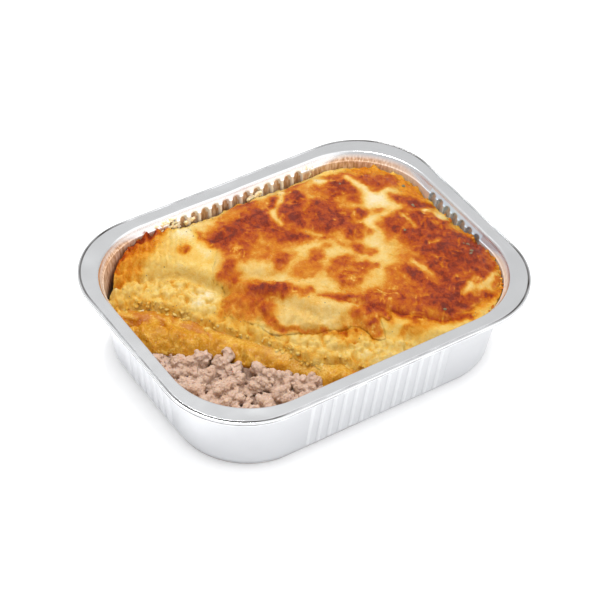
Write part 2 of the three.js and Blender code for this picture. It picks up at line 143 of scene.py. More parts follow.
def scattered(p, size, seed):
    """Distance to the nearest of scattered points, in units of size."""
    place = p / size
    corner = np.floor(place).astype(np.int64)
    nearest = np.full(len(p), 9.0)
    for step in itertools.product((-1, 0, 1), repeat=p.shape[1]):
        cell = corner + step
        away = 0
        for axis in range(p.shape[1]):
            point = cell[:, axis] + 0.5 + 0.45 * random_at(cell, seed + 7 * axis)
            away = away + (point - place[:, axis]) ** 2
        nearest = np.minimum(nearest, np.sqrt(away))
    return nearest


check = np.random.default_rng(1).uniform(0, 90, (5000, 2))
print("bumps from", bumps(check, 8, 1).min().round(2), "to", bumps(check, 8, 1).max().round(2))

# %% [markdown]
# ## Meshes from numbers
#
# A layer of food is one closed body: a fine grid over its top, sides down to the layer below, and a flat
# bottom. The grid's outermost points are moved onto the layer's true outline, so the outline is smooth and
# not a staircase. A Boolean cut would do the same, but it leaves long thin triangles that shade badly.

# %% Build an object from points and faces
def make_piece(name, points, faces, values=None):
    """A mesh object from points in millimetres. values holds named numbers, one for each point."""
    mesh = bpy.data.meshes.new(name)
    mesh.from_pydata((np.asarray(points) * MM).tolist(), [], faces)
    for key, numbers in (values or {}).items():
        attribute = mesh.attributes.new(key, "FLOAT", "POINT")
        attribute.data.foreach_set("value", np.asarray(numbers, np.float32))
    mesh.update()
    mesh.validate()
    mesh.shade_smooth()
    piece = bpy.data.objects.new(name, mesh)
    bpy.context.scene.collection.objects.link(piece)
    triangles = sum(len(face.vertices) - 2 for face in mesh.polygons)
    print(f"{name}: {len(mesh.vertices)} points, {triangles} triangles")
    return piece


# %% Trim a grid to a region
RIM_ROUNDS, RIM_REACH = 3, 0.6  # how often a rim's points are moved onto the outline, and how far each time


def reachable(mask, start):
    """The part of a mask that can be walked to from a cell."""
    grown = np.zeros_like(mask)
    grown[start] = True
    while True:
        wider = grown.copy()
        wider[1:] |= grown[:-1]
        wider[:-1] |= grown[1:]
        wider[:, 1:] |= grown[:, :-1]
        wider[:, :-1] |= grown[:, 1:]
        wider &= mask
        if (wider == grown).all():
            return grown
        grown = wider


def whole_cells(mask, deepest):
    """One patch of cells with no holes, none of them touching only at corners."""
    kept = reachable(mask, deepest)
    outside = reachable(np.pad(~kept, 1, constant_values=True), (0, 0))[1:-1, 1:-1]
    kept = ~outside
    while True:
        a, b, c, d = kept[:-1, :-1], kept[:-1, 1:], kept[1:, :-1], kept[1:, 1:]
        pinched = (a & d & ~b & ~c) | (b & c & ~a & ~d)
        if not pinched.any():
            return kept
        for cells in (a, b, c, d):
            cells |= pinched


def towards_inside(region, p):
    """Unit steps that lead into a region, and how deep each point is."""
    reach, least_slope = 0.05, 0.2
    depth = region(p)
    slope = np.stack([region(p + [reach, 0]) - depth, region(p + [0, reach]) - depth], axis=1) / reach
    return slope / np.maximum(np.hypot(*slope.T), least_slope)[:, None], depth


def trimmed_grid(region, across, along):
    """Points and faces of a grid, turned to face the scoop, that fills a region; and its rim, in order."""
    u, v = np.meshgrid(across, along)
    p = np.stack([u * SCOOP_WAY[0] - v * SCOOP_WAY[1], u * SCOOP_WAY[1] + v * SCOOP_WAY[0]], -1)
    depth = region(p.reshape(-1, 2)).reshape(u.shape)
    middle = (depth[:-1, :-1] + depth[:-1, 1:] + depth[1:, :-1] + depth[1:, 1:]) / 4
    kept = whole_cells(middle > 0, np.unravel_index(middle.argmax(), middle.shape))
    row, column = np.nonzero(kept)
    width = len(across)
    first = row * width + column
    corners = np.stack([first, first + 1, first + width + 1, first + width], 1)
    used, faces = np.unique(corners, return_inverse=True)
    faces = faces.reshape(-1, 4)
    p = p.reshape(-1, 2)[used]
    edges = np.stack([faces, np.roll(faces, -1, axis=1)], -1).reshape(-1, 2)
    key, back = edges[:, 0] * len(p) + edges[:, 1], edges[:, 1] * len(p) + edges[:, 0]
    follow = {int(a): int(b) for a, b in edges[~np.isin(key, back)]}
    rim = [next(iter(follow))]
    while follow[rim[-1]] != rim[0]:
        rim.append(follow[rim[-1]])
    rim = np.array(rim)
    for _ in range(RIM_ROUNDS):
        way, depth = towards_inside(region, p[rim])
        p[rim] -= way * np.clip(depth, -RIM_REACH, RIM_REACH)[:, None]
    return p, faces, rim


print("a full patch of 3 x 3 cells keeps", int(whole_cells(np.ones((3, 3), bool), (1, 1)).sum()), "of them")

# %% [markdown]
# ## The tray's sizes
#
# These are the tray's own sizes again, because the food is shaped by the wall that held it: the mouth, the
# lean of the wall, and the corner radius, which shrinks towards the base. Only the foil is drawn thinner
# than its solid.

# %% Sizes and the wall
RIM_Z = 38.0  # top of the flange
MOUTH = np.array([149.0, 112.6])  # length and width at the crease where wall meets flange
MOUTH_RADIUS, FLANGE_RADIUS = 33.0, 32.0  # corner radii at the crease and at the flange's outer edge
RADIUS_PER_OFFSET = 0.75  # how fast the corner radius shrinks inwards
WALL_DRAFT = 0.134  # how far the wall leans in, per millimetre down
FOIL = 0.3  # thickness of the foil as it is drawn here
FLARE = 0.8  # how much further in the plain strips reach below the mouth
FLANGE_WIDTH = 4.8
SCOOP_ANGLE = math.radians(46.7)  # the way from the scooped corner into the food, from +X
SCOOP_WAY = (math.cos(SCOOP_ANGLE), math.sin(SCOOP_ANGLE))


def wall_offset(z):
    """Distance of the wall's outer face from the mouth's outline at a height, negative inwards."""
    return -WALL_DRAFT * (RIM_Z - z)


def corner_radius(offset):
    offset = np.asarray(offset, float)
    on_wall = MOUTH_RADIUS + RADIUS_PER_OFFSET * offset
    on_flange = MOUTH_RADIUS - (MOUTH_RADIUS - FLANGE_RADIUS) * offset / FLANGE_WIDTH
    past_flange = FLANGE_RADIUS - FLANGE_WIDTH + offset
    return np.where(offset <= 0, on_wall, np.where(offset <= FLANGE_WIDTH, on_flange, past_flange))


def inside_outline(p, offset):
    """How far each point is inside the tray's outline at an offset."""
    r = corner_radius(offset)
    d = np.abs(p) - (MOUTH / 2 + np.reshape(offset, (-1, 1)) - np.reshape(r, (-1, 1)))
    return r - np.hypot(*np.maximum(d, 0).T) - np.minimum(d.max(axis=1), 0)


def flare(z):
    """How far the plain strips between the flutes lean inwards, below a mouth that opens out."""
    down = RIM_Z - z
    return FLARE * smooth(down, 0.4, 4.2) * (1 - smooth(down, 6, 24))


def inner_offset(z):
    """Distance of the plain strips' inner face from the mouth's outline at a height, negative inwards."""
    z = np.asarray(z, float)
    return wall_offset(z) - FOIL - flare(z)


def inside_foil(p, z):
    return inside_outline(p, inner_offset(z))


def kept_off_foil(p, z, gap):
    """Points moved inwards where they would come closer to the wall than a gap."""
    way, _ = towards_inside(lambda q: inside_foil(q, z), p)
    short = np.maximum(gap - inside_foil(p, z), 0)
    return p + way * short[:, None]


print("the tray's mouth at its base is", (MOUTH + 2 * wall_offset(0)).round(1), "mm")

# %% [markdown]
# ## Shader maths that reads like Python
#
# A material is a graph of nodes. Wired by hand, a formula such as 1 - mask takes six lines. Here one small
# class wraps a socket and overloads the operators, so an expression on sockets adds its Math nodes by
# itself. One method makes every other kind of node: its type, its settings, then the values or links of its
# sockets.

# %% The socket class
class Value:
    """A socket that can be used in sums."""

    def __init__(self, finish, socket):
        self.finish, self.socket = finish, socket

    def maths(self, operation, *values):
        return self.finish.node("ShaderNodeMath", {"operation": operation}, dict(enumerate(values)))

    def __add__(self, other):
        return self.maths("ADD", self, other)

    def __sub__(self, other):
        return self.maths("SUBTRACT", self, other)

    def __rsub__(self, other):
        return self.maths("SUBTRACT", other, self)

    def __mul__(self, other):
        return self.maths("MULTIPLY", self, other)

    def __pow__(self, other):
        return self.maths("POWER", self, other)

    __radd__ = __add__
    __rmul__ = __mul__

    def held(self):
        """The value kept from 0 to 1."""
        return self.finish.node("ShaderNodeClamp", {}, {"Value": self})


class Finish:
    """The nodes of one material or of the world."""

    def __init__(self, tree):
        self.tree = tree
        tree.nodes.clear()

    def node(self, kind, settings, sockets, output=0):
        """Adds a node and returns one of its outputs, by place or by name."""
        made = self.tree.nodes.new(kind)
        for key, setting in settings.items():
            if key == "stops":
                while len(made.color_ramp.elements) < len(setting):
                    made.color_ramp.elements.new(1)
                for element, (place, colour) in zip(made.color_ramp.elements, setting):
                    element.position, element.color = place, colour
            else:
                setattr(made, key, setting)
        for key, value in sockets.items():
            socket = made.inputs[key] if isinstance(key, int) else self.find(made.inputs, key)
            if isinstance(value, Value):
                self.tree.links.new(value.socket, socket)
            else:
                socket.default_value = value
        chosen = made.outputs[output] if isinstance(output, int) else self.find(made.outputs, output)
        return Value(self, chosen)

    @staticmethod
    def find(sockets, key):
        """A socket by its identifier, as a Mix node has several with one name, or else by its name."""
        return next((s for s in sockets if s.identifier == key), None) or sockets[key]

    def attribute(self, name):
        return self.node("ShaderNodeAttribute", {"attribute_name": name}, {}, "Fac")

    def place(self):
        return self.node("ShaderNodeTexCoord", {}, {}, "Object")

    def noise(self, size, detail=3.0, stretch=(1, 1, 1), roughness=0.55):
        """Noise whose bumps are size millimetres wide, from 0 to 1."""
        where = self.node("ShaderNodeMapping", {}, {"Vector": self.place(), "Scale": stretch})
        sockets = {"Vector": where, "Scale": 1 / (size * MM), "Detail": detail, "Roughness": roughness}
        return self.node("ShaderNodeTexNoise", {}, sockets)

    def ramp(self, value, stops):
        return self.node("ShaderNodeValToRGB", {"stops": stops}, {"Fac": value}, "Color")

    def mix(self, share, first, second):
        """From the first colour to the second as the share goes from 0 to 1."""
        sockets = {"Factor_Float": share, "A_Color": first, "B_Color": second}
        return self.node("ShaderNodeMix", {"data_type": "RGBA"}, sockets, "Result_Color")

    def bump(self, height, depth):
        """A normal from a height of 0 to 1 that stands for depth millimetres."""
        return self.node("ShaderNodeBump", {}, {"Height": height, "Distance": depth * MM})


def colour(red, green, blue):
    """A colour as a painter reads it on a screen, 0 to 255, in the renderer's linear light."""
    shares = [part / 255 for part in (red, green, blue)]
    linear = [c / 12.92 if c <= 0.04045 else ((c + 0.055) / 1.055) ** 2.4 for c in shares]
    return (*linear, 1)


LIT = 0.745  # food is seen under strong light, so its own colour is this share of how bright it looks


def food(red, green, blue):
    """The colour of food that looks like this in the room."""
    return (*(LIT * part for part in colour(red, green, blue)[:3]), 1)


def finish(name, link, fixed):
    """A material. link is given the node maker and returns what varies; fixed holds the other sockets."""
    material = bpy.data.materials.new(name)
    material.use_nodes = True
    maker = Finish(material.node_tree)
    shader = maker.node("ShaderNodeBsdfPrincipled", {}, {**fixed, **link(maker)})
    end = material.node_tree.nodes.new("ShaderNodeOutputMaterial")
    material.node_tree.links.new(shader.socket, end.inputs["Surface"])
    print(name, "has", len(material.node_tree.nodes), "nodes")
    return material


print("middle grey is", round(colour(128, 128, 128)[0], 3), "in linear light")

# %% [markdown]
# ## The camera
#
# The tray is seen from a little over forty degrees above the table, with a long lens, and its long side
# runs away to the right. The camera is placed by its position and by three angles, so that its frame can be
# checked by hand.

# %% The camera
CAMERA_AT = Vector((-384.23, -537.62, 634.93)) * MM
AZIMUTH, ELEVATION, ROLL = (math.radians(a) for a in (-35.43, 42.82, 3.10))
FOCAL_LENGTH, SENSOR_WIDTH = 136.32, 36
NEAREST_SEEN = 0.05

out = math.cos(ELEVATION)
back = Vector((math.sin(AZIMUTH) * out, -math.cos(AZIMUTH) * out, math.sin(ELEVATION)))
level = Vector((0, 0, 1)).cross(back).normalized()
up = back.cross(level)
right = level * math.cos(ROLL) + up * math.sin(ROLL)
above = up * math.cos(ROLL) - level * math.sin(ROLL)
camera = bpy.data.objects.new("camera", bpy.data.cameras.new("camera"))
camera.data.lens, camera.data.sensor_width = FOCAL_LENGTH, SENSOR_WIDTH
camera.data.clip_start = NEAREST_SEEN
camera.matrix_world = Matrix.Translation(CAMERA_AT) @ Matrix((right, above, back)).transposed().to_4x4()
bpy.context.scene.collection.objects.link(camera)
bpy.context.scene.camera = camera
print("camera is", round(CAMERA_AT.length / MM), "mm from the middle of the tray")

# %% [markdown]
# ## Light and floor
#
# Foil shows whatever is round it, so the light matters as much as the metal. A studio would use a white
# table, a pale room, a soft box in front and lamps overhead. The world is that room, brightest overhead,
# with the soft box in it. The large lamp shapes the food, and the small one gives the highlights on the
# cheese. The floor glows a little, so that the lamps' wide shadows fade into white, and it glows less
# close to the tray: a painted shadow round its base.

# %% Room, lamps and floor
world = bpy.data.worlds.new("studio")
bpy.context.scene.world = world
world.use_nodes = True
room = Finish(world.node_tree)
towards = room.node("ShaderNodeTexCoord", {}, {}, "Generated")
height = room.node("ShaderNodeSeparateXYZ", {}, {"Vector": towards}, "Z")
SKY = [  # height, 0 at the horizon and 1 overhead, and brightness
    (0.0, 0.76), (0.5, 0.72), (0.78, 0.75), (0.92, 0.96), (1.0, 1.1),
]
BRIGHTEST = SKY[-1][1]
sky = room.ramp(height, [(place, (*[bright / BRIGHTEST] * 3, 1)) for place, bright in SKY])
SOFT_BOX_WAY, SOFT_BOX_LIGHT = (0.43, -0.8, 0.42), 0.95
SOFT_BOX_RIM, SOFT_BOX_FULL = 0.72, 0.92  # cosine of the angle from its middle: at its rim, and where full
box_ways = {0: towards, 1: SOFT_BOX_WAY}
facing = room.node("ShaderNodeVectorMath", {"operation": "DOT_PRODUCT"}, box_ways, "Value")
box_sockets = {"Value": facing, "From Min": SOFT_BOX_RIM, "From Max": SOFT_BOX_FULL}
box = room.node("ShaderNodeMapRange", {"interpolation_type": "SMOOTHSTEP"}, box_sockets, "Result")
strength = BRIGHTEST + box * (SOFT_BOX_LIGHT * BRIGHTEST)
light = room.node("ShaderNodeBackground", {}, {"Color": sky, "Strength": strength})
room_end = world.node_tree.nodes.new("ShaderNodeOutputWorld")
world.node_tree.links.new(light.socket, room_end.inputs["Surface"])


LAMPS_AIM = (0, 0, 0.03)  # in metres, like the lamps' own places


def lamp(name, at, size, power):
    """A square soft lamp that points at the tray."""
    made = bpy.data.objects.new(name, bpy.data.lights.new(name, "AREA"))
    made.data.size, made.data.energy = size, power
    made.location = at
    made.rotation_euler = (Vector(LAMPS_AIM) - Vector(at)).to_track_quat("-Z", "Y").to_euler()
    bpy.context.scene.collection.objects.link(made)


lamp("overhead_lamp", (-0.07, 0.22, 1.05), 0.3, 7.0)
lamp("spark_lamp", (-0.12, 0.4, 0.95), 0.06, 2.4)

FLOOR_HALF = 1500
floor_corners = [(FLOOR_HALF * x, FLOOR_HALF * y, 0) for x, y in ((-1, -1), (1, -1), (1, 1), (-1, 1))]
floor = make_piece("floor", floor_corners, [(0, 1, 2, 3)])
TABLE_CORE = {"X": 40.2, "Y": 22.0}  # half sizes of the rectangle between the middles of the base's corners
GLOW_REACH = 60
# The glow is lowest close to the tray: a painted shadow round its base.
GLOW_AND_PAINTED_SHADOW = [  # distance from that rectangle, in shares of the reach, and the glow there
    (0.44, 0.12), (0.49, 0.22), (0.55, 0.35), (0.66, 0.43),
]


# The table glows less close to the tray, which paints a shadow round its base.
def table_with_painted_shadow(f):
    beyond = []
    for axis, half in TABLE_CORE.items():
        place = f.node("ShaderNodeSeparateXYZ", {}, {"Vector": f.place()}, axis)
        beyond.append(place.maths("MAXIMUM", place.maths("ABSOLUTE", place) - half * MM, 0.0))
    away = (beyond[0] * beyond[0] + beyond[1] * beyond[1]) ** 0.5
    stops = [(share, (glow, glow, glow, 1)) for share, glow in GLOW_AND_PAINTED_SHADOW]
    return {
        "Base Color": f.mix(f.noise(60), colour(240, 240, 241), colour(243, 243, 243)),
        "Emission Color": f.ramp(away * (1 / (GLOW_REACH * MM)), stops),
    }


MATT = {"Roughness": 0.8, "Specular IOR Level": 0.1, "Emission Strength": 1.0}
floor.data.materials.append(finish("white_table_painted_shadow", table_with_painted_shadow, MATT))
bpy.context.scene.view_settings.view_transform = "Standard"
print("floor, lamps and room are in place")

# %% [markdown]
# ## The foil tray
#
# The tray is pressed from thin aluminium: flutes stiffen its straight walls, the corners stay smooth, a
# flat flange runs round the top, and its edge is rolled under into a bead. It could be modelled by box
# modelling and bevels, but the tray is really one outline that changes with height. So it is lofted: one
# ring of points per height, each ring with the same number of points, joined by quads.

# %% The outline of the tray at one height
FLUTE_PITCH, FLUTE_DEPTH, FLUTE_HALF, FLUTE_EASE = 5.0, 0.8, 2.15, 0.65
FLUTE_BOTTOM_Z, OUTER_FLUTE_TOP_Z, INNER_FLUTE_TOP_Z = 4.6, 35.6, 35.4
LONG_FLUTES, SHORT_FLUTES = 13, 7
BACK_ROW_SHIFT = -2.7  # how far the back wall's row of flutes is from the wall's middle
CORNER_STEPS, FLUTE_STEPS = 26, 18


def flute_share(along, z, half_row, top_z):
    """How much of a flute's depth is reached at a place on a straight wall; flutes are round at the top."""
    from_middle = np.abs((along + half_row) % FLUTE_PITCH - FLUTE_PITCH / 2)
    away = np.hypot(from_middle, max(z - (top_z - FLUTE_HALF), 0))
    share = 1 - smooth(away, FLUTE_HALF - FLUTE_EASE, FLUTE_HALF)
    share = share * smooth(z, FLUTE_BOTTOM_Z - 2, FLUTE_BOTTOM_Z)
    return np.where(np.abs(along) < half_row, share, 0)


def tray_ring(offset, z, flute_depth, flute_top_z):
    """One ring of the tray at an offset from the mouth, counter-clockwise seen from above.

    For each of its points it also gives whether it is in the row of flutes, how far it is from the nearest
    flute's middle as a share of half the pitch, and which side of a flute it is on: 1, -1 or 0 for neither.
    """
    r = float(corner_radius(offset))
    half = MOUTH / 2 + offset
    ring, notes = [], []
    for side in range(4):
        turn = (side - 1) * math.pi / 2
        out, on = np.array([math.cos(turn), math.sin(turn)]), np.array([-math.sin(turn), math.cos(turn)])
        walls = ((LONG_FLUTES, half[0], half[1]), (SHORT_FLUTES, half[1], half[0]))
        flutes, run, reach = walls[side % 2]
        row, straight = flutes * FLUTE_PITCH / 2, run - r
        plain = np.linspace(straight, row, 5)[:-1]
        along = np.concatenate([-plain, np.linspace(-row, row, flutes * FLUTE_STEPS + 1), plain[::-1]])
        shift = BACK_ROW_SHIFT if side == 2 else 0
        along += shift * (1 - smooth(np.abs(along), row, straight))
        share = flute_share(along - shift, z, row, flute_top_z)
        away = reach + flute_depth * share
        ring.append(along[:, None] * on + away[:, None] * out)
        lane = 2 * np.abs((along - shift + row) % FLUTE_PITCH / FLUTE_PITCH - 0.5)
        notes.append(np.stack([np.abs(along - shift) < row, lane, np.clip(3 * np.gradient(share), -1, 1)]))
        notes.append(np.zeros((3, CORNER_STEPS - 1)))
        bend = np.linspace(0, math.pi / 2, CORNER_STEPS + 1)[1:-1]
        along, away = straight + r * np.sin(bend), reach - r + r * np.cos(bend)
        ring.append(along[:, None] * on + away[:, None] * out)
    ring = np.concatenate(ring)
    return np.column_stack([ring, np.full(len(ring), z)]), np.concatenate(notes, axis=1)


print("one ring has", len(tray_ring(0, 20, FLUTE_DEPTH, OUTER_FLUTE_TOP_Z)[0]), "points")

# %% The tray's profile, from the base up, over the bead and down inside
FACE_Z = RIM_Z - 0.01  # the flange's top face
CREASE_RADIUS, BASE_FILLET = 1.6, 2.75
BEAD_HALF_WIDTH, BEAD_HALF_HEIGHT, BEAD_OFFSET, BEAD_STEPS = 0.55, 0.9, 5.8, 12
GROOVE = 0.55


def arc(middle, half_width, half_height, start, end, steps):
    """Points (offset, z) on an arc, angles in degrees from straight out."""
    turn = np.radians(np.linspace(start, end, steps))
    return [(middle[0] + half_width * math.cos(t), middle[1] + half_height * math.sin(t)) for t in turn]


def wall_run(offset, low, high):
    """Points up the wall, closer together where the flutes end."""
    fine_low, coarse, fine_high = np.arange(3.6, 7, 0.38), np.arange(8, 33, 3.0), np.arange(33.2, 37.6, 0.3)
    stops = np.unique(np.concatenate([[low, high], fine_low, coarse, fine_high]))
    return [(float(offset(z)), z) for z in stops if low <= z <= high]


fillet_offset, inner_fillet = wall_offset(0) - BASE_FILLET, BASE_FILLET - FOIL
outside = arc((fillet_offset, BASE_FILLET), BASE_FILLET, BASE_FILLET, -90, -8, 7)
outside += wall_run(wall_offset, 2.8, 35.9)
bend = CREASE_RADIUS - FOIL
under_flange = arc((bend + 0.4, RIM_Z - FOIL - bend), bend, bend, 170, 90, 5)
under_flange += [(BEAD_OFFSET - BEAD_HALF_WIDTH - 0.25, RIM_Z - FOIL - GROOVE)]
bead = []  # the roll shows as two bulges, one over the other
for lower, start, end in ((1.5, -165, 60), (0.5, -60, 148)):
    middle = (BEAD_OFFSET, FACE_Z - lower * BEAD_HALF_HEIGHT)
    bead += arc(middle, BEAD_HALF_WIDTH, BEAD_HALF_HEIGHT / 2, start, end, BEAD_STEPS)
seam = [(5.2, RIM_Z - GROOVE), (5.06, RIM_Z - GROOVE), (4.94, RIM_Z - 0.12)]
flange = [(4.88, RIM_Z - 0.02)] + [(offset, FACE_Z) for offset in (4.8, 4.6, 3.6, 2.6, 1.6, 0.8, 0.55)]
CREASE_STEPS = [  # offset, and how far below the rim
    (0.45, 0.02), (0.3, 0.08), (0.19, 0.22), (-0.05, 0.66), (-0.31, 1.25), (-0.57, 1.9), (-0.78, 2.3),
    (-0.98, 2.75), (-1.16, 3.1), (-1.32, 3.4),
]
crease = [(offset, RIM_Z - lower) for offset, lower in CREASE_STEPS]
inside = wall_run(inner_offset, 3.0, 34.4)[::-1]
inside += arc((fillet_offset, BASE_FILLET + FOIL), inner_fillet, inner_fillet, -5, -90, 6)
outer_run = outside + under_flange + bead + seam + flange
outer_half = [(offset, z, FLUTE_DEPTH, OUTER_FLUTE_TOP_Z) for offset, z in outer_run]
inner_half = []
for offset, z in crease + inside:
    depth = max(wall_offset(z) - FOIL + FLUTE_DEPTH - offset, 0)
    inner_half.append((offset, z, depth, INNER_FLUTE_TOP_Z))
profile = outer_half + inner_half
print("the profile has", len(profile), "points")

# %% [markdown]
# Pressed foil is never quite true. The walls wander by a tenth of a millimetre, the corners carry faint
# upright streaks where the metal was gathered, and the flange has a dent or two from handling. The
# reflections show these long before the outline does.

# %% Dents and waviness, then the mesh
DENTS = [  # x, y, half length, half width, turn, how far the flange is pushed down
    (-2, 58.5, 9, 3.2, 0, 0.35), (79.5, 19, 2.2, 7, 0, 0.4), (-72, 46, 5, 2.5, 60, 0.3),
    (77, -33, 3.5, 3, 40, 0.25), (-58, -57, 8, 3, -30, 0.2), (30, 59.5, 6, 2.5, 0, 0.2),
]


def foil_wander(points):
    """The tray's points with the small errors that pressing and handling leave."""
    outward = points[:, :2] / np.maximum(np.hypot(*points[:, :2].T), 1)[:, None]
    on_wall = smooth(points[:, 2], 1.5, 6) * (1 - smooth(points[:, 2], RIM_Z - 2.5, RIM_Z - 0.5))
    corner = smooth(np.abs(points[:, 0]), 40, 48) * smooth(np.abs(points[:, 1]), 22, 30)
    streaks = bumps(points * [1, 1, 0.06], 2.3, 5) + 0.7 * bumps(points * [1, 1, 0.1], 5.0, 6)
    push = on_wall * (0.07 * bumps(points, 17, 3) + corner * 0.045 * streaks - 0.04)
    dip = swells(points[:, :2], DENTS) + 0.03 + 0.03 * bumps(points, 9, 9)
    moved = points.copy()
    moved[:, :2] += outward * push[:, None]
    moved[:, 2] -= smooth(points[:, 2], RIM_Z - 3.5, RIM_Z - 2.2) * np.maximum(dip, 0)
    return moved


rings, notes = zip(*[tray_ring(*step) for step in profile])
count = len(rings[0])
around = np.arange(count)
onward = (around + 1) % count
band = np.stack([around, onward, count + onward, count + around], 1)
quads = np.concatenate([i * count + band for i in range(len(rings) - 1)])
ends = [around[::-1].tolist(), ((len(rings) - 1) * count + around).tolist()]
row_of = np.repeat(np.arange(len(rings)), count)
inner = row_of > len(outer_half) + 2
SEAM_ROWS, GROOVE_ROWS = 6, 3  # rings that are dark before the seam's end, and on each side of the groove
seam_end = len(outside + under_flange + bead + seam)
points = np.concatenate(rings)
in_row, lane, side = np.concatenate(notes, axis=1)
down = RIM_Z - points[:, 2]
corner = smooth(np.abs(points[:, 0]), 40, 55) * smooth(np.abs(points[:, 1]), 20, 35)
in_seam = (row_of >= seam_end - SEAM_ROWS) & (row_of < seam_end)
groove = len(outside + under_flange) + BEAD_STEPS
in_groove = (row_of >= groove - GROOVE_ROWS) & (row_of < groove + GROOVE_ROWS)
# A painted shade: the seam under the flange's edge and the groove by the bead are coloured dark, most at
# the corners.
dark = in_seam * np.clip(0.15 + 0.7 * corner + 0.4 * bumps(points, 7, 13), 0, 1)
dark = np.maximum(dark, in_groove * np.clip(0.3 + 0.3 * bumps(points, 5, 14), 0, 1))
at_back = smooth(points[:, 1], 30, 50)
# The grease film; its tan is partly a painted reflection of the food.
plain_film = smooth(down - between(3.0, 0.3 + 0.4 * at_back, corner), 0, 2.2)
film = between(plain_film, smooth(down - 3.0 - 5.0 * lane**2, 0, 0.5), in_row)
greasy = inner * film
# Painted light: the flutes of the right wall get a lighter film, where they lie in shade.
recess = inner * in_row * smooth(points[:, 0], 55, 65)
# A painted highlight: the plain strips below the crease are coloured white and made less metallic, where
# bright light would shine on them.
strip = inner * (1 - film) * smooth(down, 0.8, 1.8) * between(0.5, 1, in_row)
on_left = smooth(-points[:, 0], 60, 72)
wall = (1 - inner) * smooth(down, 2, 2.6)
# Painted light and shade: each outer flute has one side painted lighter and one darker, less on the left
# wall, and the outer walls are painted darker than the flange.
tone = (1 - inner) * side * (1 - 0.7 * on_left) - 0.95 * wall
marks = {"greasy": greasy, "strip": strip, "dark": dark, "back": at_back}
marks |= {"tone": tone, "wall": wall, "recess": recess}
tray = make_piece("foil_tray_pressed", foil_wander(points), quads.tolist() + ends, marks)

# %% [markdown]
# The metal is bright aluminium. Rolled foil is not a mirror: its fine rolling lines blur what it reflects,
# and a film of baked grease covers the inside above the food, tan in the flutes. So the roughness varies
# softly, a shallow bump carries the grain, and where the film lies the foil is coloured and hardly
# metallic; the film's tan is partly a painted reflection of the food. Light and shade are painted on the
# foil too: a dark painted shade in the seam and groove, painted highlights on the plain strips inside,
# painted light in the flutes of the right wall, lighter and darker sides on the outer flutes, and outer
# walls painted darker than the flange.

# %% The foil's finish
SIDE_FILM = [(0.3, colour(196, 176, 158)), (0.5, colour(206, 187, 170)), (0.7, colour(216, 201, 187))]
BACK_FILM = [(0.36, colour(172, 128, 92)), (0.5, colour(206, 166, 130)), (0.66, colour(232, 208, 186))]
CLEAN_FOIL = [
    (0.1, colour(190, 191, 194)), (0.45, colour(222, 223, 225)), (0.58, colour(228, 229, 230)),
    (0.9, colour(244, 245, 246)),
]


def foil_links(f):
    blotches = f.noise(9, 3)
    lines = f.noise(0.9, 2, (0.12, 1, 1))
    grain = f.noise(0.5, 2, (1, 1, 0.1))
    greasy, strip, dark = f.attribute("greasy"), f.attribute("strip"), f.attribute("dark")
    streaks, at_back = f.noise(0.8, 3, (1, 1, 0.14)), f.attribute("back")
    side_film = f.ramp(streaks, SIDE_FILM)
    back_film = f.ramp(streaks, BACK_FILM)
    film = f.mix(f.attribute("recess"), f.mix(at_back, side_film, back_film), colour(226, 210, 196))
    # The strips' painted highlight: white at the back, a painted bluish reflection elsewhere.
    highlight_white = f.mix(at_back, colour(188, 206, 220), colour(252, 252, 252))
    # The tone carries the painted light and shade of the outer flutes and walls.
    tone = (0.46 + 0.08 * blotches + 0.2 * f.attribute("tone")).held()
    clean = f.ramp(tone, CLEAN_FOIL)
    return {
        "Base Color": f.mix(dark, f.mix(strip, f.mix(greasy, clean, film), highlight_white), colour(52, 46, 42)),
        "Metallic": 1 - 0.9 * greasy - 0.85 * strip - 0.8 * dark,
        "Roughness": 0.17 + 0.08 * blotches + 0.06 * lines + 0.3 * greasy + 0.2 * f.attribute("wall"),
        "Normal": f.bump(lines + grain, 0.012),
    }


tray.data.materials.append(finish("bright_foil", foil_links, {}))
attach(tray, "root")
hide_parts("foil_tray")

# %% [markdown]
# ## Where each layer ends
#
# A spoon has taken out one corner. Its cut runs across the tray, and each layer steps back from the one
# below it: the mince reaches furthest into the scoop, then the puree, then the mash. Each edge is a curve
# that wanders along the cut.

# %% The edges of the scoop
PUREE_EDGE = [
    (-62, -39.5), (-44, -37.5), (-29, -37), (-23, -36), (-18, -38), (-9, -36.5), (-1, -38.5), (6, -38.5),
    (12, -41), (18, -44), (34, -47),
]
MASH_EDGE = [
    (-75, -23), (-57, -20), (-44, -21.5), (-31, -25.5), (-19, -28), (-9, -29.8), (-2, -31.5), (4.5, -34),
    (9.5, -35.8), (16, -35), (22, -33.5), (27, -36), (45, -37),
]
MINCE_TOP_Z, PUREE_TOP_Z, MASH_TOP_Z = 18.4, 24.0, 34.0


def across_scoop(p):
    return p @ np.array(SCOOP_WAY)


def along_scoop(p):
    return p @ np.array([SCOOP_WAY[1], -SCOOP_WAY[0]])


def inside_mash(p):
    ragged = 0.55 * bumps(p, 4.5, 21) + 0.35 * bumps(p, 1.8, 22)
    return across_scoop(p) - through(MASH_EDGE, along_scoop(p)) + ragged


def inside_puree(p):
    ragged = 0.8 * bumps(p, 5, 23) + 0.3 * bumps(p, 2, 24)
    return across_scoop(p) - through(PUREE_EDGE, along_scoop(p)) + ragged


step_back = float(through(MASH_EDGE, 0) - through(PUREE_EDGE, 0))
print("the mash steps back from the puree by", round(step_back, 1), "mm in the middle")

# %% [markdown]
# ## The mashed potato
#
# Mash is stiff: it keeps the fork's ridges, and where the spoon tore it, the slope is crumbly and cracked.
# Its main form is the same as the solid's: a height at the wall that changes round the tray, a low dome,
# and a list of swells and hollows. On top come the creases and the torn texture.

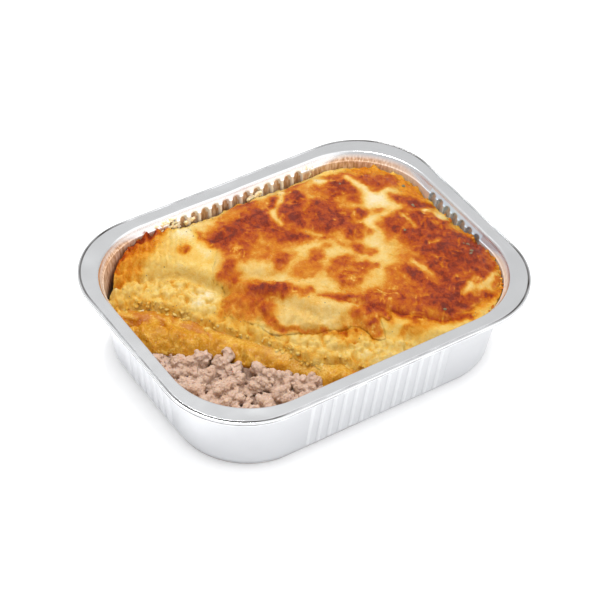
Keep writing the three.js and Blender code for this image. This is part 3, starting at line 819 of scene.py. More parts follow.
# %% The mash's height
MASH_SLOPE = [(0, 0.02), (2.5, 0.22), (9, 0.42), (15, 0.55), (21, 0.88), (30, 1)]
WALL_HEIGHTS = [
    (-180, 29), (-120, 31), (-75, 33), (-50, 33.5), (-37, 34.5), (-22, 33.5), (-10, 32.8), (-1, 29.4),
    (11, 28.8), (23, 30), (33, 31), (42, 28.8), (55, 27.5), (66, 27), (80, 27.4), (90, 27.6), (104, 26.4),
    (114, 28), (122, 33), (130, 33), (142, 29), (180, 29),
]
SHOULDER_WIDTH = 9
MASH_SWELLS = [
    (-8, -18, 16, 8.5, -40, 3.4), (-16, 1, 12, 4.5, -32, 1.8), (-52, 24, 20, 6, -28, 2.2),
    (-48, 42, 13, 8, 20, 1.2), (15, 36, 20, 9, 12, 1.6), (28, 22, 14, 8, 70, 1.2),
    (60, -14, 10, 15, 0, 1.4), (40, -38, 22, 7, 4, 0.8), (17, -43, 8, 4, 8, 1),
    (-15, 10, 20, 3.2, -34, -2.2), (-36, 20, 10, 3, -40, -2.4), (32, 0, 12, 7, -30, -1.2),
    (9, -12, 9, 3, -45, -1.4), (30, -24, 10, 6, 20, -0.8),
]
CREASES = [  # path, depth, width
    ([(-67, 41), (-56, 40), (-46.5, 35), (-38, 30.5), (-34, 24), (-31, 19), (-28.5, 13)], 2.2, 1.5),
    ([(-22, -13), (-14, -20), (-9, -24), (-1, -28)], 0.9, 0.8),
    ([(-30, -7), (-27, -12), (-22.5, -17.5), (-17.5, -24), (-9, -32.5), (1, -38)], 0.7, 0.6),
    ([(-1, -11.5), (3, -15.5), (9, -22), (14, -27), (20, -33), (28, -42), (36, -48)], 0.8, 0.9),
]
RIDGE_PITCH, RIDGE_WAY = 4.2, (0.86, -0.51)


def crossing_waves(x, y):
    """Gentle unevenness from -1 to 1, about 12 mm long."""
    along_x = np.sin(0.52 * x + 0.9 * np.sin(0.31 * y))
    along_y = np.sin(0.47 * y + 1.7 + 0.8 * np.sin(0.38 * x))
    return (along_x + along_y + np.sin(0.36 * (x + y) + 4.1)) / 3


def torn(p):
    """1 on the torn slope of the mash, 0 elsewhere."""
    depth = inside_mash(p)
    return smooth(depth, -1, 1) * (1 - smooth(depth + 2 * bumps(p, 7, 31), 12, 17))


def domes(p, size, seed):
    """Little round domes of many widths, 1 at their tops and 0 in the gaps."""
    return np.sqrt(np.clip(1 - 1.5 * scattered(p, size, seed) ** 2, 0, 1))


def crumbly(p):
    """Crumbs that stick together: large domes with smaller ones on them, 0 to 1."""
    wander = p + 0.7 * np.stack([bumps(p, 2.5, 27), bumps(p, 2.5, 28)], 1)
    return 0.6 * domes(wander, 3.3, 38) + 0.4 * domes(wander, 1.6, 39)


EASED_BELOW_RIM = 1.4


def below_rim(z):
    """Heights eased down so that nothing stands above the tray's rim."""
    knee = RIM_Z - EASED_BELOW_RIM
    return np.where(z > knee, knee + np.tanh(z - knee), z)


def mash_height(p):
    x, y = p[:, 0], p[:, 1]
    distance = inside_outline(p, wall_offset(MASH_TOP_Z) - 0.5)
    dome = (1 - (x / 75) ** 2) * (1 - (y / 57) ** 2)
    middle = MASH_TOP_Z + dome + swells(p, MASH_SWELLS) + 0.4 * crossing_waves(x, y)
    at_wall = through(WALL_HEIGHTS, np.degrees(np.arctan2(y, x)))
    at_wall = at_wall + 3.0 * bumps(p, 6, 29) + 2.4 * bumps(p, 2.6, 30)
    rounding = np.sqrt(1 - (1 - np.clip(distance / SHOULDER_WIDTH, 0, 1)) ** 2) ** 1.35
    full = between(np.minimum(at_wall, middle), middle, rounding)
    sunk_edge = 1.4 * (1 - smooth(inside_mash(p), -0.3, 1.7))
    main = between(PUREE_TOP_Z, full, through(MASH_SLOPE, inside_mash(p))) - sunk_edge
    crease = sum(depth * np.exp(-((to_path(p, path) / width) ** 2)) for path, depth, width in CREASES)
    crumbs = 2.1 * crumbly(p) + 1.4 * np.abs(bumps(p, 6, 33)) + 0.5 * bumps(p, 3.2, 40) - 1.8
    crumble = torn(p) * smooth(inside_mash(p), -0.5, 3.5) * crumbs
    crack = torn(p) * 0.7 * np.exp(-((bumps(p, 7.5, 34) / 0.09) ** 2))
    forked = smooth(-x, 22, 32) * smooth(y - 0.35 * x, 44, 52)
    turns = p @ np.array(RIDGE_WAY) / RIDGE_PITCH + 0.25 * bumps(p, 9, 36)
    ridges = 0.6 * forked * np.sin(2 * math.pi * turns)
    at_crisp_edge = smooth(-x, 30, 36) * smooth(y, 34, 42) * np.exp(-((distance / 1.3) ** 2))
    crisp = at_crisp_edge * (0.5 + 1.3 * np.abs(bumps(p, 1.7, 37)))
    grain = 0.4 * rough(p, 3.4, 35, 4, 0.66)
    return below_rim(main - crease + crumble - crack + ridges + crisp + grain + 0.3) - 0.3


print("the mash is", mash_height(np.array([[0.0, 0.0]])).round(1)[0], "mm high in the middle")

# %% Mesh of a layer: a top, sides and a flat bottom
SIDE_LEVELS = (0.12, 0.4, 1)  # how far down the sides each ring of points is
TOP_GAP, SIDE_GAP = 0.25, 0.3  # between a layer and the foil


def layer(name, region, lines, height, floor_z, values):
    """A closed body under a height function, trimmed to a region. values makes its named numbers."""
    p, faces, rim = trimmed_grid(region, *lines)
    z = height(p)
    p = kept_off_foil(p, z, TOP_GAP)
    points, faces = [np.column_stack([p, z])], faces.tolist()
    numbers = {key: [value(p)] for key, value in values.items()}
    above, count = rim, len(p)
    for share in SIDE_LEVELS:
        level = between(z[rim], floor_z, share)
        points.append(np.column_stack([kept_off_foil(p[rim], level, SIDE_GAP), level]))
        below = count + np.arange(len(rim))
        faces += np.stack([below, np.roll(below, -1), np.roll(above, -1), above], 1).tolist()
        above, count = below, count + len(rim)
        for key in numbers:
            numbers[key].append(numbers[key][0][rim])
    faces.append(above[::-1].tolist())
    joined = {key: np.concatenate(parts) for key, parts in numbers.items()}
    return make_piece(name, np.concatenate(points), faces, joined)


def even_lines(start, end, step):
    return np.linspace(start, end, round((end - start) / step) + 1)


print("a layer has a top,", len(SIDE_LEVELS), "bands of sides and a bottom")

# %% [markdown]
# ## Where the oven browned it
#
# Cheese browns in patches where it blistered towards the heat, and every patch goes through the same steps
# from its rim to its middle: cream, yellow, amber, orange, red brown. Painting this needs a picture file,
# and a noise alone would put the patches anywhere. So the patches are a list of ovals and lines with a heat
# for each, their outlines are bent by noise until nothing oval is left, and each point of the mesh keeps
# its heat for the finish to colour.

# %% The patches
# x, y, half length, half width, turn, heat: 0.45 amber, 0.6 orange, 0.75 orange brown, 0.9 red brown
HEAT = [
    (-13.5, 36.5, 9.5, 5.5, -5, 0.92), (-4, 37, 7, 8, 0, 0.85), (-17, 33, 5, 4, 0, 0.86),
    (-12, 43.5, 1.8, 1.4, 0, 0.85), (-9, 28, 9, 4.5, 30, 0.72), (-13.5, 23, 4, 1.8, 60, 0.7),
    (-17, 27, 4, 3.5, 0, 0.66), (3, 36, 5, 9, 0, 0.92), (3, 48, 5.5, 4.5, 0, 0.76),
    (12, 42, 5.5, 3.4, 50, 0.92), (4, 29, 6, 5, 0, 0.82), (6, 23, 7.5, 4, -22, 0.86),
    (10.5, 19, 5, 3, -40, 0.82), (15, 33, 6.5, 8.5, 0, 0.92), (15.5, 25, 3.6, 3.4, 0, 0.96),
    (20.5, 39, 8, 3.8, 62, 0.9), (28, 30, 8, 6, 0, 0.84), (27, 21.5, 9.5, 7.5, 0, 0.88),
    (31, 15, 5, 5, 0, 0.78), (34.5, 12.5, 2.6, 2.8, 0, 0.9), (30, 10, 3.5, 3, 0, 0.74),
    (28, 3, 3, 3.6, 60, 0.72), (23.5, 8, 2.6, 1.4, -60, 0.62), (35.8, 8, 1.3, 1.6, 0, 0.74),
    (41.5, 38.5, 6.5, 4, 0, 0.92), (37.5, 34, 3.2, 2.4, 0, 0.86), (45, 33, 4, 3.5, 0, 0.76),
    (44, 28, 3.2, 3, 0, 0.88), (39.5, 20, 2.8, 3, 0, 0.9), (47.5, 19.5, 2.8, 2.6, 0, 0.62),
    (42.5, 11.2, 2.1, 1.4, -10, 0.72), (27, 48, 6, 2, 0, 0.64), (34, 42, 4, 3, 0, 0.56),
    (45, 45.5, 6.5, 2.6, -12, 0.78), (51, 42, 2.2, 4, 0, 0.74), (54, 38, 3.4, 3.6, 0, 0.8),
    (60.5, 33.5, 7.5, 4.2, -12, 0.78), (55, 31, 4, 3, 0, 0.7), (62, 29, 4, 2, 0, 0.64),
    (59.5, 20.6, 4, 2.2, -5, 0.88), (57.5, 23.5, 1.7, 1.7, 0, 0.72), (62.5, 15, 5, 3.2, -62, 0.94),
    (67, 11.8, 4.5, 2.2, -5, 0.88), (54.5, 11.5, 4.2, 2.2, 5, 0.78), (47.5, 12.2, 2.6, 1.2, -10, 0.68),
    (48, 6.5, 5, 4.5, 0, 0.86), (51.5, 8, 2.2, 2.2, 0, 0.92), (43, 5, 1.8, 5, -25, 0.68),
    (60, 4, 6, 7.5, 0, 0.92), (58.5, -2, 9, 5, 0, 0.92), (50, -2, 6, 6, 0, 0.86), (57, -13, 14, 9, 0, 0.9),
    (60, -23, 12, 10, 0, 0.9), (67, -19, 6, 9, 0, 0.96), (50, -25, 8, 10, 0, 0.87),
    (38.5, -25, 12, 3, 92, 0.9), (46, -35, 9, 6, 0, 0.88), (42, -42, 9, 5.5, 0, 0.93),
    (36, -38, 7, 5, -45, 0.87), (54, -43.5, 6.5, 1.8, -18, 0.86), (61, -33, 8, 4.5, 20, 0.85),
    (67.5, -30, 3.5, 4, 0, 0.82), (64, -40.8, 4.5, 1.5, 33, 0.74), (28, -28, 9, 9, 0, 0.62),
    (26, -29, 3, 5, 0, 0.74), (20, -24, 8, 4, -15, 0.7), (33, -15, 4.5, 3.5, 0, 0.6),
    (30, -21, 8, 3, 0, 0.6), (25, -38, 9, 3.4, -48, 0.78), (30, -36, 5, 5, 0, 0.7),
    (12.5, -28, 8.5, 2.7, -14, 0.86), (7, -26.5, 3.2, 1.8, 0, 0.74), (8.6, -35, 4.2, 1.3, 78, 0.8),
    (11.5, -33.5, 3, 1.2, 60, 0.76), (10, -38.4, 2.2, 1.1, 0, 0.74), (16, -33, 3.2, 1.7, 85, 0.9),
    (9.5, -20, 4, 1.9, -18, 0.86), (3, -15, 4.6, 1.5, -35, 0.8), (42.5, -51, 3.4, 1, -10, 0.8),
    (33.5, -48, 1.5, 0.8, -30, 0.7), (17.5, -1.5, 5, 3.8, 0, 0.74), (14.5, -10, 5, 4, 0, 0.74),
    (22, -7.5, 4.2, 3.8, 0, 0.64), (26, -7.5, 1.8, 2.8, 0, 0.74), (32, -1, 2.8, 2.3, 0, 0.76),
    (13, -5, 5, 5, 0, 0.58), (9.5, 7, 5.2, 3, 38, 0.68), (4, 3, 8, 6, 0, 0.48),
    (-3, 12, 5.8, 2.8, 22, 0.76), (-5, 19, 8, 6, 0, 0.48), (17.5, 14.3, 2.8, 1.7, 0, 0.72),
    (17, 10, 2, 1.4, 0, 0.62), (-2.5, -8.5, 1.4, 1.7, 0, 0.66), (-5.8, -7.8, 1.6, 1.5, 0, 0.68),
    (-14, 0.5, 10.5, 2.5, -42, 0.88), (-20, 4, 7, 6, -42, 0.66), (-29, 6.5, 7.5, 4.5, 10, 0.52),
    (-22, -2, 6, 4, -40, 0.6), (-21.2, -7, 7.5, 1.6, -84, 0.74), (-23, 20.5, 5.2, 3.6, 25, 0.74),
    (-23, 15, 3.8, 1.3, 5, 0.78), (-28.5, 43, 3, 2.8, 0, 0.58), (-32, 38.5, 2.1, 1.6, 0, 0.7),
    (-30.5, 40.5, 1.7, 3, -40, 0.52), (-22.3, 43, 1.3, 3.5, 10, 0.74), (-44, 53.5, 12, 3, 0, 0.82),
    (-56, 50, 6, 2.2, 38, 0.84), (-46, 49, 10, 3.5, 0, 0.48), (-24, 4, 11, 9, -35, 0.46),
    (60, 42, 9, 5, -35, 0.46), (68, 22, 5, 9, 0, 0.46), (29, 42, 4, 5, 0, 0.42), (-6, 47, 8, 3, 0, 0.42),
    (52, -46, 14, 4, 4, 0.42), (15, -16, 9, 6, 0, 0.4), (-52, 44, 11, 5, 25, 0.4), (3, -31, 8, 5, 0, 0.38),
    (24, -45, 8, 3, -10, 0.38), (-59, 42, 3, 6, -35, 0.42), (68, -42, 5, 7, -40, 0.45),
]
BROWN_LINES = [  # path, half width, heat
    ([(-22, -12.5), (-17.5, -17), (-13, -21), (-9, -24.3), (-5, -27.5), (0, -29.5)], 0.7, 0.68),
    ([(16.5, -42.6), (21, -42.9), (25, -42.4)], 0.6, 0.72),
    ([(-1, -12.5), (3, -15), (6, -17.5), (12, -21.5), (14, -26)], 0.9, 0.82),
    ([(20, -33), (24, -38.5), (28, -42.5), (33, -46.5), (38, -49.3), (44, -51)], 1.1, 0.78),
]
PALE_SPOTS = [  # x, y, half length, half width, turn, how much of the heat is gone
    (64.3, 8.5, 2.4, 1.3, -5, 0.95), (56, -10.2, 2.6, 1.2, -5, 0.75), (-27, 46, 6, 7, 0, 0.7),
    (-25, 36, 2.8, 7, 0, 0.6), (-35, 16, 5, 7, -40, 0.5), (50, 23.5, 7, 5, -15, 0.75),
    (40, 14, 5, 4, 0, 0.4), (37.5, 45, 2.4, 2.4, 0, 0.7), (34, 3, 4, 6, 0, 0.35), (20, -16.5, 5, 3, 0, 0.4),
    (14, 13, 4, 2.6, 0, 0.4), (68, 2.5, 2.2, 3, 0, 0.7), (57, 26, 4, 2, 10, 0.5),
]
PALE_STREAKS = [  # path, half width, how much of the heat is gone
    ([(20, 47), (16, 42.5), (12, 39), (8, 36.5), (7.5, 33), (8.5, 29.5)], 1.2, 0.7),
    ([(48.5, 43), (49.5, 37), (50.5, 30), (50, 26)], 1.5, 0.7),
    ([(41.5, -15), (43, -20), (44, -25.5)], 0.9, 0.65),
    ([(47.5, -40.8), (52, -38.5), (57.5, -34.5)], 1.0, 0.7),
    ([(51, -42.6), (58, -40), (66, -36.5)], 0.8, 0.55), ([(54.5, 10), (54.8, 5.5), (54, 2.5)], 1.0, 0.65),
    ([(45.2, -9), (45, -14)], 0.7, 0.5), ([(13, 24), (15.5, 21), (18, 16.5)], 0.9, 0.45),
]


def bent(p, seed):
    """Points shifted by noise, so that an oval measured at them has a ragged outline."""
    wide = np.stack([bumps(p, 7, seed), bumps(p, 7, seed + 1)], 1)
    fine = np.stack([rough(p, 2.6, seed + 2, 2), rough(p, 2.6, seed + 3, 2)], 1)
    return p + 1.9 * wide + 1.4 * fine


def strongest(p, ovals, full, gone):
    """The strongest of the ovals at each point, fading out from full to gone, as shares of their size."""
    reach = np.zeros(len(p))
    for *place, strength in ovals:
        reach = np.maximum(reach, strength * (1 - smooth(oval(p, *place), full, gone)))
    return reach


def on_lines(p, lines):
    """The strongest of soft lines at each point."""
    reach = np.zeros(len(p))
    for path, half_width, strength in lines:
        reach = np.maximum(reach, strength * (1 - smooth(to_path(p, path) / half_width, 0.5, 1.6)))
    return reach


def browning(p):
    """How far the top has browned, 0 to 1, with crisp patches."""
    shifted = bent(p, 51)
    lines = on_lines(p + (shifted - p) * 0.35, BROWN_LINES)
    patches = np.maximum(strongest(shifted, HEAT, 0.55, 1.6), lines)
    halo = 0.52 * strongest(shifted, HEAT, 0.9, 2.3) * (1 + 0.5 * bumps(p, 6, 63))
    patches = np.maximum(patches, halo)
    ground = 0.19 + 0.06 * rough(p, 9, 61) + 0.05 * rough(p, 2.5, 62)
    nearly = p + (bent(p, 65) - p) * 0.5
    pale = np.maximum(strongest(nearly, PALE_SPOTS, 0.4, 1.4), on_lines(nearly, PALE_STREAKS))
    return np.maximum(ground, patches) * (1 - np.minimum(1.05 * pale, 0.96))


MAP_STEP = 0.6
map_x, map_y = np.arange(-76, 76.5, MAP_STEP), np.arange(-58, 58.5, MAP_STEP)
heat_map = browning(np.stack(np.meshgrid(map_x, map_y), -1).reshape(-1, 2)).reshape(len(map_y), len(map_x))
for _ in range(2):  # heat spreads, so the patches have soft rims
    wide = np.pad(heat_map, 1, mode="edge")
    rows = (wide[:-2] + 2 * wide[1:-1] + wide[2:]) / 4
    heat_map = (rows[:, :-2] + 2 * rows[:, 1:-1] + rows[:, 2:]) / 4


def strands(p):
    """Thin pale strings of cheese, in two directions, here and there."""
    made = np.zeros(len(p))
    for turn, seed in ((-35, 73), (50, 76)):
        a = math.radians(turn)
        q = np.stack([0.3 * (p @ [math.cos(a), math.sin(a)]), p @ [-math.sin(a), math.cos(a)]], 1)
        line = np.exp(-((bumps(q, 2.8, seed) / 0.1) ** 2))
        made = np.maximum(made, line * smooth(bumps(p, 6, seed + 1), 0.15, 0.45))
    return 0.36 * made


def heat(p):
    """How far the top has browned, 0 to 1."""
    across = np.clip((p[:, 0] - map_x[0]) / MAP_STEP, 0, len(map_x) - 1.01)
    along = np.clip((p[:, 1] - map_y[0]) / MAP_STEP, 0, len(map_y) - 1.01)
    i, j = across.astype(int), along.astype(int)
    before = between(heat_map[j, i], heat_map[j, i + 1], across - i)
    after = between(heat_map[j + 1, i], heat_map[j + 1, i + 1], across - i)
    soft = between(before, after, along - j)
    mottle = rough(p, 3.2, 71, 4, 0.75) * (0.03 + 0.2 * smooth(soft, 0.25, 0.7))
    return np.clip(soft + mottle - strands(p) * smooth(soft, 0.45, 0.7), 0, 1)


sample = np.stack(np.meshgrid(np.linspace(-20, 70, 90), np.linspace(-45, 50, 95)), -1).reshape(-1, 2)
print("share of the top that is well browned:", (heat(sample) > 0.65).mean().round(2))

# %% The mash
WALL_GAPS = [
    (-180, 0.6), (-60, 0.35), (-30, 1.2), (0, 0.9), (30, 0.5), (100, 0.4), (128, 0.5), (138, 2.2),
    (148, 3.6), (154, 1.2), (158, 0.5), (180, 0.6),
]


def wall_gap(p):
    """Air between the food's top and the wall, by direction round the tray."""
    by_way = through(WALL_GAPS, np.degrees(np.arctan2(p[:, 1], p[:, 0])))
    return by_way + 0.55 * bumps(p, 4, 25) + 0.4 * bumps(p, 1.8, 26)


def mash_region(p):
    in_wall = inside_outline(p, inner_offset(MASH_TOP_Z)) - np.maximum(wall_gap(p) - 0.4, 0.15)
    return np.minimum(in_wall, inside_mash(p))


def mash_browning_and_shade(p):
    """The torn slope: paler crumb tops and darker cracks, partly their own colour, partly painted shade; a
    little darker near the puree.
    """
    return heat(p) + torn(p) * (0.24 - 0.3 * crumbly(p) + 0.1 * (1 - smooth(inside_mash(p), 0, 6)))


mash = layer(
    "potato_mash_torn",
    mash_region,
    (even_lines(-34, 84, 0.43), even_lines(-98, 98, 0.43)),
    mash_height,
    PUREE_TOP_Z - 1.5,
    {"baked": mash_browning_and_shade},
)

# %% [markdown]
# ## The melted cheese
#
# The cheese lies on the mash like a thick cloth: a millimetre or two, rounded at its edge where it ran and
# set, with tongues that hang over the torn slope. Cloth simulation would drape it, but it melted in place
# and follows the mash exactly, so its underside is the mash itself and its top adds a thickness that swells
# over each blister.

# %% The cheese's outline
CHEESE_EDGE = [
    (-23, 51), (-23, 44), (-21, 37), (-21.5, 31), (-26, 26), (-30, 20), (-28, 14.5), (-32, 10), (-34, 4),
    (-31, -2), (-27, -7), (-24, -14), (-18, -18.5), (-12, -23), (-7, -26), (0, -29), (5, -31), (7.5, -39),
    (10.5, -41), (12.5, -36), (13.5, -33), (15, -36), (17.5, -35), (19, -32), (23, -37), (28, -42.5),
    (34, -47.5), (43, -48.5), (52, -46.5), (59, -44.5), (64, -42), (69.5, -36), (72, -26), (73, -12),
    (71.5, 0), (71, 9), (66, 13.5), (64.5, 19), (62, 23), (65, 28), (67, 34), (61, 39), (54, 43.5),
    (49, 48), (41, 49), (38, 53), (20, 53), (0, 55), (-12, 52),
]


def rounded(path, steps=5):
    """A closed smooth line through the points of a path."""
    nodes = np.array(path, float)
    a, b, c, d = (np.roll(nodes, shift, axis=0) for shift in (1, 0, -1, -2))
    made = []
    for t in np.arange(steps) / steps:
        square, cube = (2 * a - 5 * b + 4 * c - d) * t**2, (3 * b - a - 3 * c + d) * t**3
        made.append(0.5 * (2 * b + (c - a) * t + square + cube))
    return np.stack(made, axis=1).reshape(-1, 2)


EDGE_LINE = rounded(CHEESE_EDGE)


def inside_line(p, line):
    """How far each point is inside a closed line; negative outside."""
    closed = np.concatenate([line, line[:1]])
    odd = np.zeros(len(p), bool)
    for (x0, y0), (x1, y1) in zip(closed, closed[1:]):
        crosses = (y0 > p[:, 1]) != (y1 > p[:, 1])
        odd ^= crosses & (p[:, 0] < x0 + (p[:, 1] - y0) * (x1 - x0) / (y1 - y0 if y1 != y0 else 1))
    return np.where(odd, 1, -1) * to_path(p, closed)


def inside_cheese(p):
    ragged = 0.6 * bumps(p, 4, 41) + 0.35 * bumps(p, 1.7, 42)
    return np.minimum(inside_line(p, EDGE_LINE) + ragged, mash_region(p) - 0.3)


print("the cheese's outline has", len(EDGE_LINE), "points")

# %% The cheese's thickness and mesh
def cheese_thickness(p, depth):
    in_front = (1 - smooth(p[:, 1], -16, -7)) * (1 - smooth(p[:, 0], 12, 22))
    lip = between(smooth(depth, 0, 7), 0.8 * np.sqrt(1 - (1 - np.clip(depth / 2.8, 0, 1)) ** 2), in_front)
    nearest = scattered(p + 0.8 * np.stack([bumps(p, 3, 43), bumps(p, 3, 44)], 1), 4.2, 45)
    blister = np.sqrt(np.clip(1 - nearest**2 * 1.6, 0, 1)) * smooth(heat(p), 0.5, 0.85)
    return lip * (1.1 + 0.4 * bumps(p, 8, 46) + 0.5 * blister + 0.42 * rough(p, 2.6, 47, 4, 0.62))


SUNK_UNDERSIDE = 0.4


def sheet(name, region, lines, under, thickness, values):
    """A closed sheet that lies on a height function and thins out to nothing at its rim."""
    p, faces, rim = trimmed_grid(region, *lines)
    depth = np.maximum(region(p), 0)
    depth[rim] = 0
    z = under(p)
    inner = np.setdiff1d(np.arange(len(p)), rim)
    lower = np.arange(len(p))
    lower[inner] = len(p) + np.arange(len(inner))
    top = np.column_stack([p, below_rim(z + np.maximum(thickness(p, depth), 0))])
    underside = np.column_stack([p, z - SUNK_UNDERSIDE])[inner]
    numbers = {}
    for key, value in values.items():
        on_top = value(p)
        numbers[key] = np.concatenate([on_top, on_top[inner]])
    all_faces = faces.tolist() + lower[faces][:, ::-1].tolist()
    return make_piece(name, np.concatenate([top, underside]), all_faces, numbers)


cheese = sheet(
    "melted_cheese_browned",
    inside_cheese,
    (even_lines(-52, 84, 0.47), even_lines(-84, 84, 0.47)),
    mash_height,
    cheese_thickness,
    {"baked": heat},
)

# %% [markdown]
# ## The finish of the baked top
#
# Mash and cheese share one way of browning, on slightly different pale grounds. Each point's heat picks the
# colour, and fine noise breaks it up below the size of the mesh. Fat makes the browned places glossier, and
# the pores and crust are a bump.

# %% Mash and cheese
PALE_MASH = [  # heat and colour
    (0.0, food(248, 234, 200)), (0.07, food(246, 221, 162)), (0.15, food(242, 207, 118)),
    (0.28, food(237, 180, 71)), (0.42, food(225, 142, 25)),
]
PALE_CHEESE = [
    (0.0, food(246, 232, 200)), (0.07, food(243, 219, 166)), (0.15, food(239, 205, 126)),
    (0.28, food(231, 176, 74)), (0.42, food(215, 132, 22)),
]
BROWNED = [
    (0.57, food(200, 102, 4)), (0.72, food(182, 76, 8)), (0.87, food(158, 54, 12)),
    (1.0, food(116, 36, 14)),
]


def baked_links(f, crust_depth, stops):
    fine, finer, wide = f.noise(1.5, 5, roughness=0.65), f.noise(0.6, 4, roughness=0.7), f.noise(4.5, 4)
    heat_here = f.attribute("baked")
    swing = 0.12 + 0.36 * heat_here
    uneven = heat_here + swing * (fine - 0.5) + 1.3 * swing * (finer - 0.5) + 0.1 * (wide - 0.5)
    return {
        "Base Color": f.ramp(uneven.held(), stops),
        "Roughness": 0.27 - 0.1 * heat_here + 0.3 * (wide - 0.5),
        "Normal": f.bump(fine + finer, crust_depth),
    }


FAT = {
    "Subsurface Weight": 0.25,
    "Subsurface Radius": (1.0, 0.6, 0.25),
    "Subsurface Scale": 0.0022,
    "Specular IOR Level": 0.13,
}
SHINY_FAT = {**FAT, "Specular IOR Level": 0.2}


def cheese_links(f):
    return baked_links(f, 0.45, PALE_CHEESE + BROWNED)


def mash_links(f):
    return baked_links(f, 0.5, PALE_MASH + BROWNED)


cheese.data.materials.append(finish("browned_cheese", cheese_links, SHINY_FAT))
mash.data.materials.append(finish("mashed_potato", mash_links, FAT))
for piece, node, slot in ((mash, "potato_mash", "mash"), (cheese, "melted_cheese", "cheese")):
    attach(piece, "root")
    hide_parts(node)

# %% [markdown]
# ## The vegetable puree
#
# The puree is wet and grainy, like coarse apple sauce. Where the spoon pulled away it stands in soft lumps,
# and it sags a little over the mince. It is one more layer with its own height, and a glossier finish than
# the mash.

# %% The puree
PUREE_LOBES = [  # x, y, half length, half width, turn, rise
    (-56.5, 8, 14, 7.5, -43, 3.4), (-34, -11.5, 12, 8, -46, 3.6), (-18.5, -30, 12, 6.5, -46, 3.4),
    (-13, -40.5, 8, 4.6, -30, 3.2), (-63, 16, 8, 5.5, -40, 2.6), (-46, -4, 8, 6, -48, 2.8),
    (-60, 3.5, 7, 4.5, -30, 2.2), (-26.5, -22, 7, 6, -50, 2.8),
]
PUREE_PITS = [
    (-65, 24, 2.6, 3.4, 20, -1.6), (-36.8, -14.8, 1.6, 1.2, -40, -1.4), (-24.5, -22.8, 1.5, 1.3, 0, -1.3),
    (-53, 11, 1.6, 1, -30, -0.8),
]


def puree_lumps(p):
    """Soft lumps that meet in creases, 0 in a crease."""
    wander = p + 1.5 * np.stack([bumps(p, 6, 115), bumps(p, 6, 116)], 1)
    lobes = [rise * np.clip(1 - oval(wander, *lobe) ** 2, 0, 1) ** 0.8 for *lobe, rise in PUREE_LOBES]
    folds = 3.6 * np.abs(bumps(wander, 5.5, 114))
    return np.max(lobes, axis=0) + folds + 1.1 * np.abs(bumps(wander, 2.4, 117)) - 0.5


def puree_height(p):
    x, y = p[:, 0], p[:, 1]
    inside = inside_puree(p)
    ledge = smooth(inside, -1.5, 7.5)
    open_share = 1 - smooth(inside_mash(p), -7, -0.8)
    rise = 1.3 * swells(p, PUREE_PITS) + 0.35 * crossing_waves(2 * x, 2 * y) + puree_lumps(p) - 1.2
    lip = smooth(inside, -0.6, 2)
    main = between(MINCE_TOP_Z + 0.4, PUREE_TOP_Z - 1.3 * open_share, ledge) + rise * open_share * lip
    grain = 0.2 * rough(p, 3.4, 111) + 0.2 * np.abs(bumps(p, 1.5, 112))
    ceiling = PUREE_TOP_Z + 3.2 * open_share
    return ceiling - np.logaddexp(0, ceiling - main) + grain * open_share


def puree_region(p):
    in_wall = inside_outline(p, wall_offset(PUREE_TOP_Z) - FOIL) - 0.35
    return np.minimum(in_wall, np.minimum(inside_puree(p), 6 - inside_mash(p)))


# Painted shade: the puree's creases are coloured darker.
def painted_shade_in_creases(p):
    return 1 - smooth(puree_lumps(p), 0.1, 1.1)


def mixed_with_mash(p):
    return smooth(inside_mash(p) + 2 * bumps(p, 5, 118), -7, -1)


puree = layer(
    "vegetable_puree_scooped",
    puree_region,
    (even_lines(-46, -12, 0.45), even_lines(-90, 90, 0.45)),
    puree_height,
    MINCE_TOP_Z - 1.5,
    {"crease": painted_shade_in_creases, "mixed": mixed_with_mash},
)


ORANGE = [
    (0.24, food(180, 97, 4)), (0.38, food(195, 118, 9)), (0.5, food(204, 136, 22)),
    (0.6, food(213, 153, 42)), (0.75, food(236, 192, 92)),
]


def puree_links(f):
    pulp, grain, wide = f.noise(2.6, 4), f.noise(0.8, 3), f.noise(8, 2)
    own = 0.35 * pulp + 0.45 * grain + 0.35 * wide - 0.02
    # The creases are painted darker, a painted shade.
    tone = (own - 0.2 * f.attribute("crease") + 0.06 * f.attribute("mixed")).held()
    # Pale grains and painted highlights: small spots mixed towards a pale colour.
    pale_grains_and_glints = (6.0 * f.noise(0.7, 2) - 3.7).held()
    return {
        "Base Color": f.mix(0.55 * pale_grains_and_glints, f.ramp(tone, ORANGE), food(255, 226, 176)),
        "Roughness": 0.16 + 0.14 * pulp,
        "Normal": f.bump(grain + 0.4 * pulp, 0.4),
    }


WET = {
    "Subsurface Weight": 0.4,
    "Subsurface Radius": (1.0, 0.8, 0.4),
    "Subsurface Scale": 0.003,
    "Specular IOR Level": 0.22,
}
puree.data.materials.append(finish("orange_puree", puree_links, WET))
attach(puree, "root")
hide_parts("vegetable_puree")

# %% [markdown]
# ## The minced meat
#
# Cooked mince breaks into clumps the size of a pea or larger, and each is a knot of small granules.
# Metaballs would merge granules, but slowly and too smoothly. Here each clump is a handful of small balls,
# and one voxel remesh melts them all into a single skin, which noise then roughens. Low down between the
# clumps the meat is coloured dark: partly juice, partly painted shade.

# %% Melt balls into one lump
BALL_RINGS, BALL_TURNS = 7, 10


def ball_points(rings, turns):
    """A unit ball's points and faces."""
    points = [(0, 0, 1)]
    for i in range(1, rings):
        for j in range(turns):
            a, b = math.pi * i / rings, 2 * math.pi * j / turns
            points.append((math.sin(a) * math.cos(b), math.sin(a) * math.sin(b), math.cos(a)))
    points.append((0, 0, -1))
    last = len(points) - 1
    faces = []
    for j in range(turns):
        k = (j + 1) % turns
        faces.append((0, 1 + j, 1 + k))
        for i in range(rings - 2):
            upper, under = 1 + i * turns, 1 + (i + 1) * turns
            faces.append((upper + j, under + j, under + k, upper + k))
        faces.append((1 + (rings - 2) * turns + j, last, 1 + (rings - 2) * turns + k))
    return np.array(points), faces


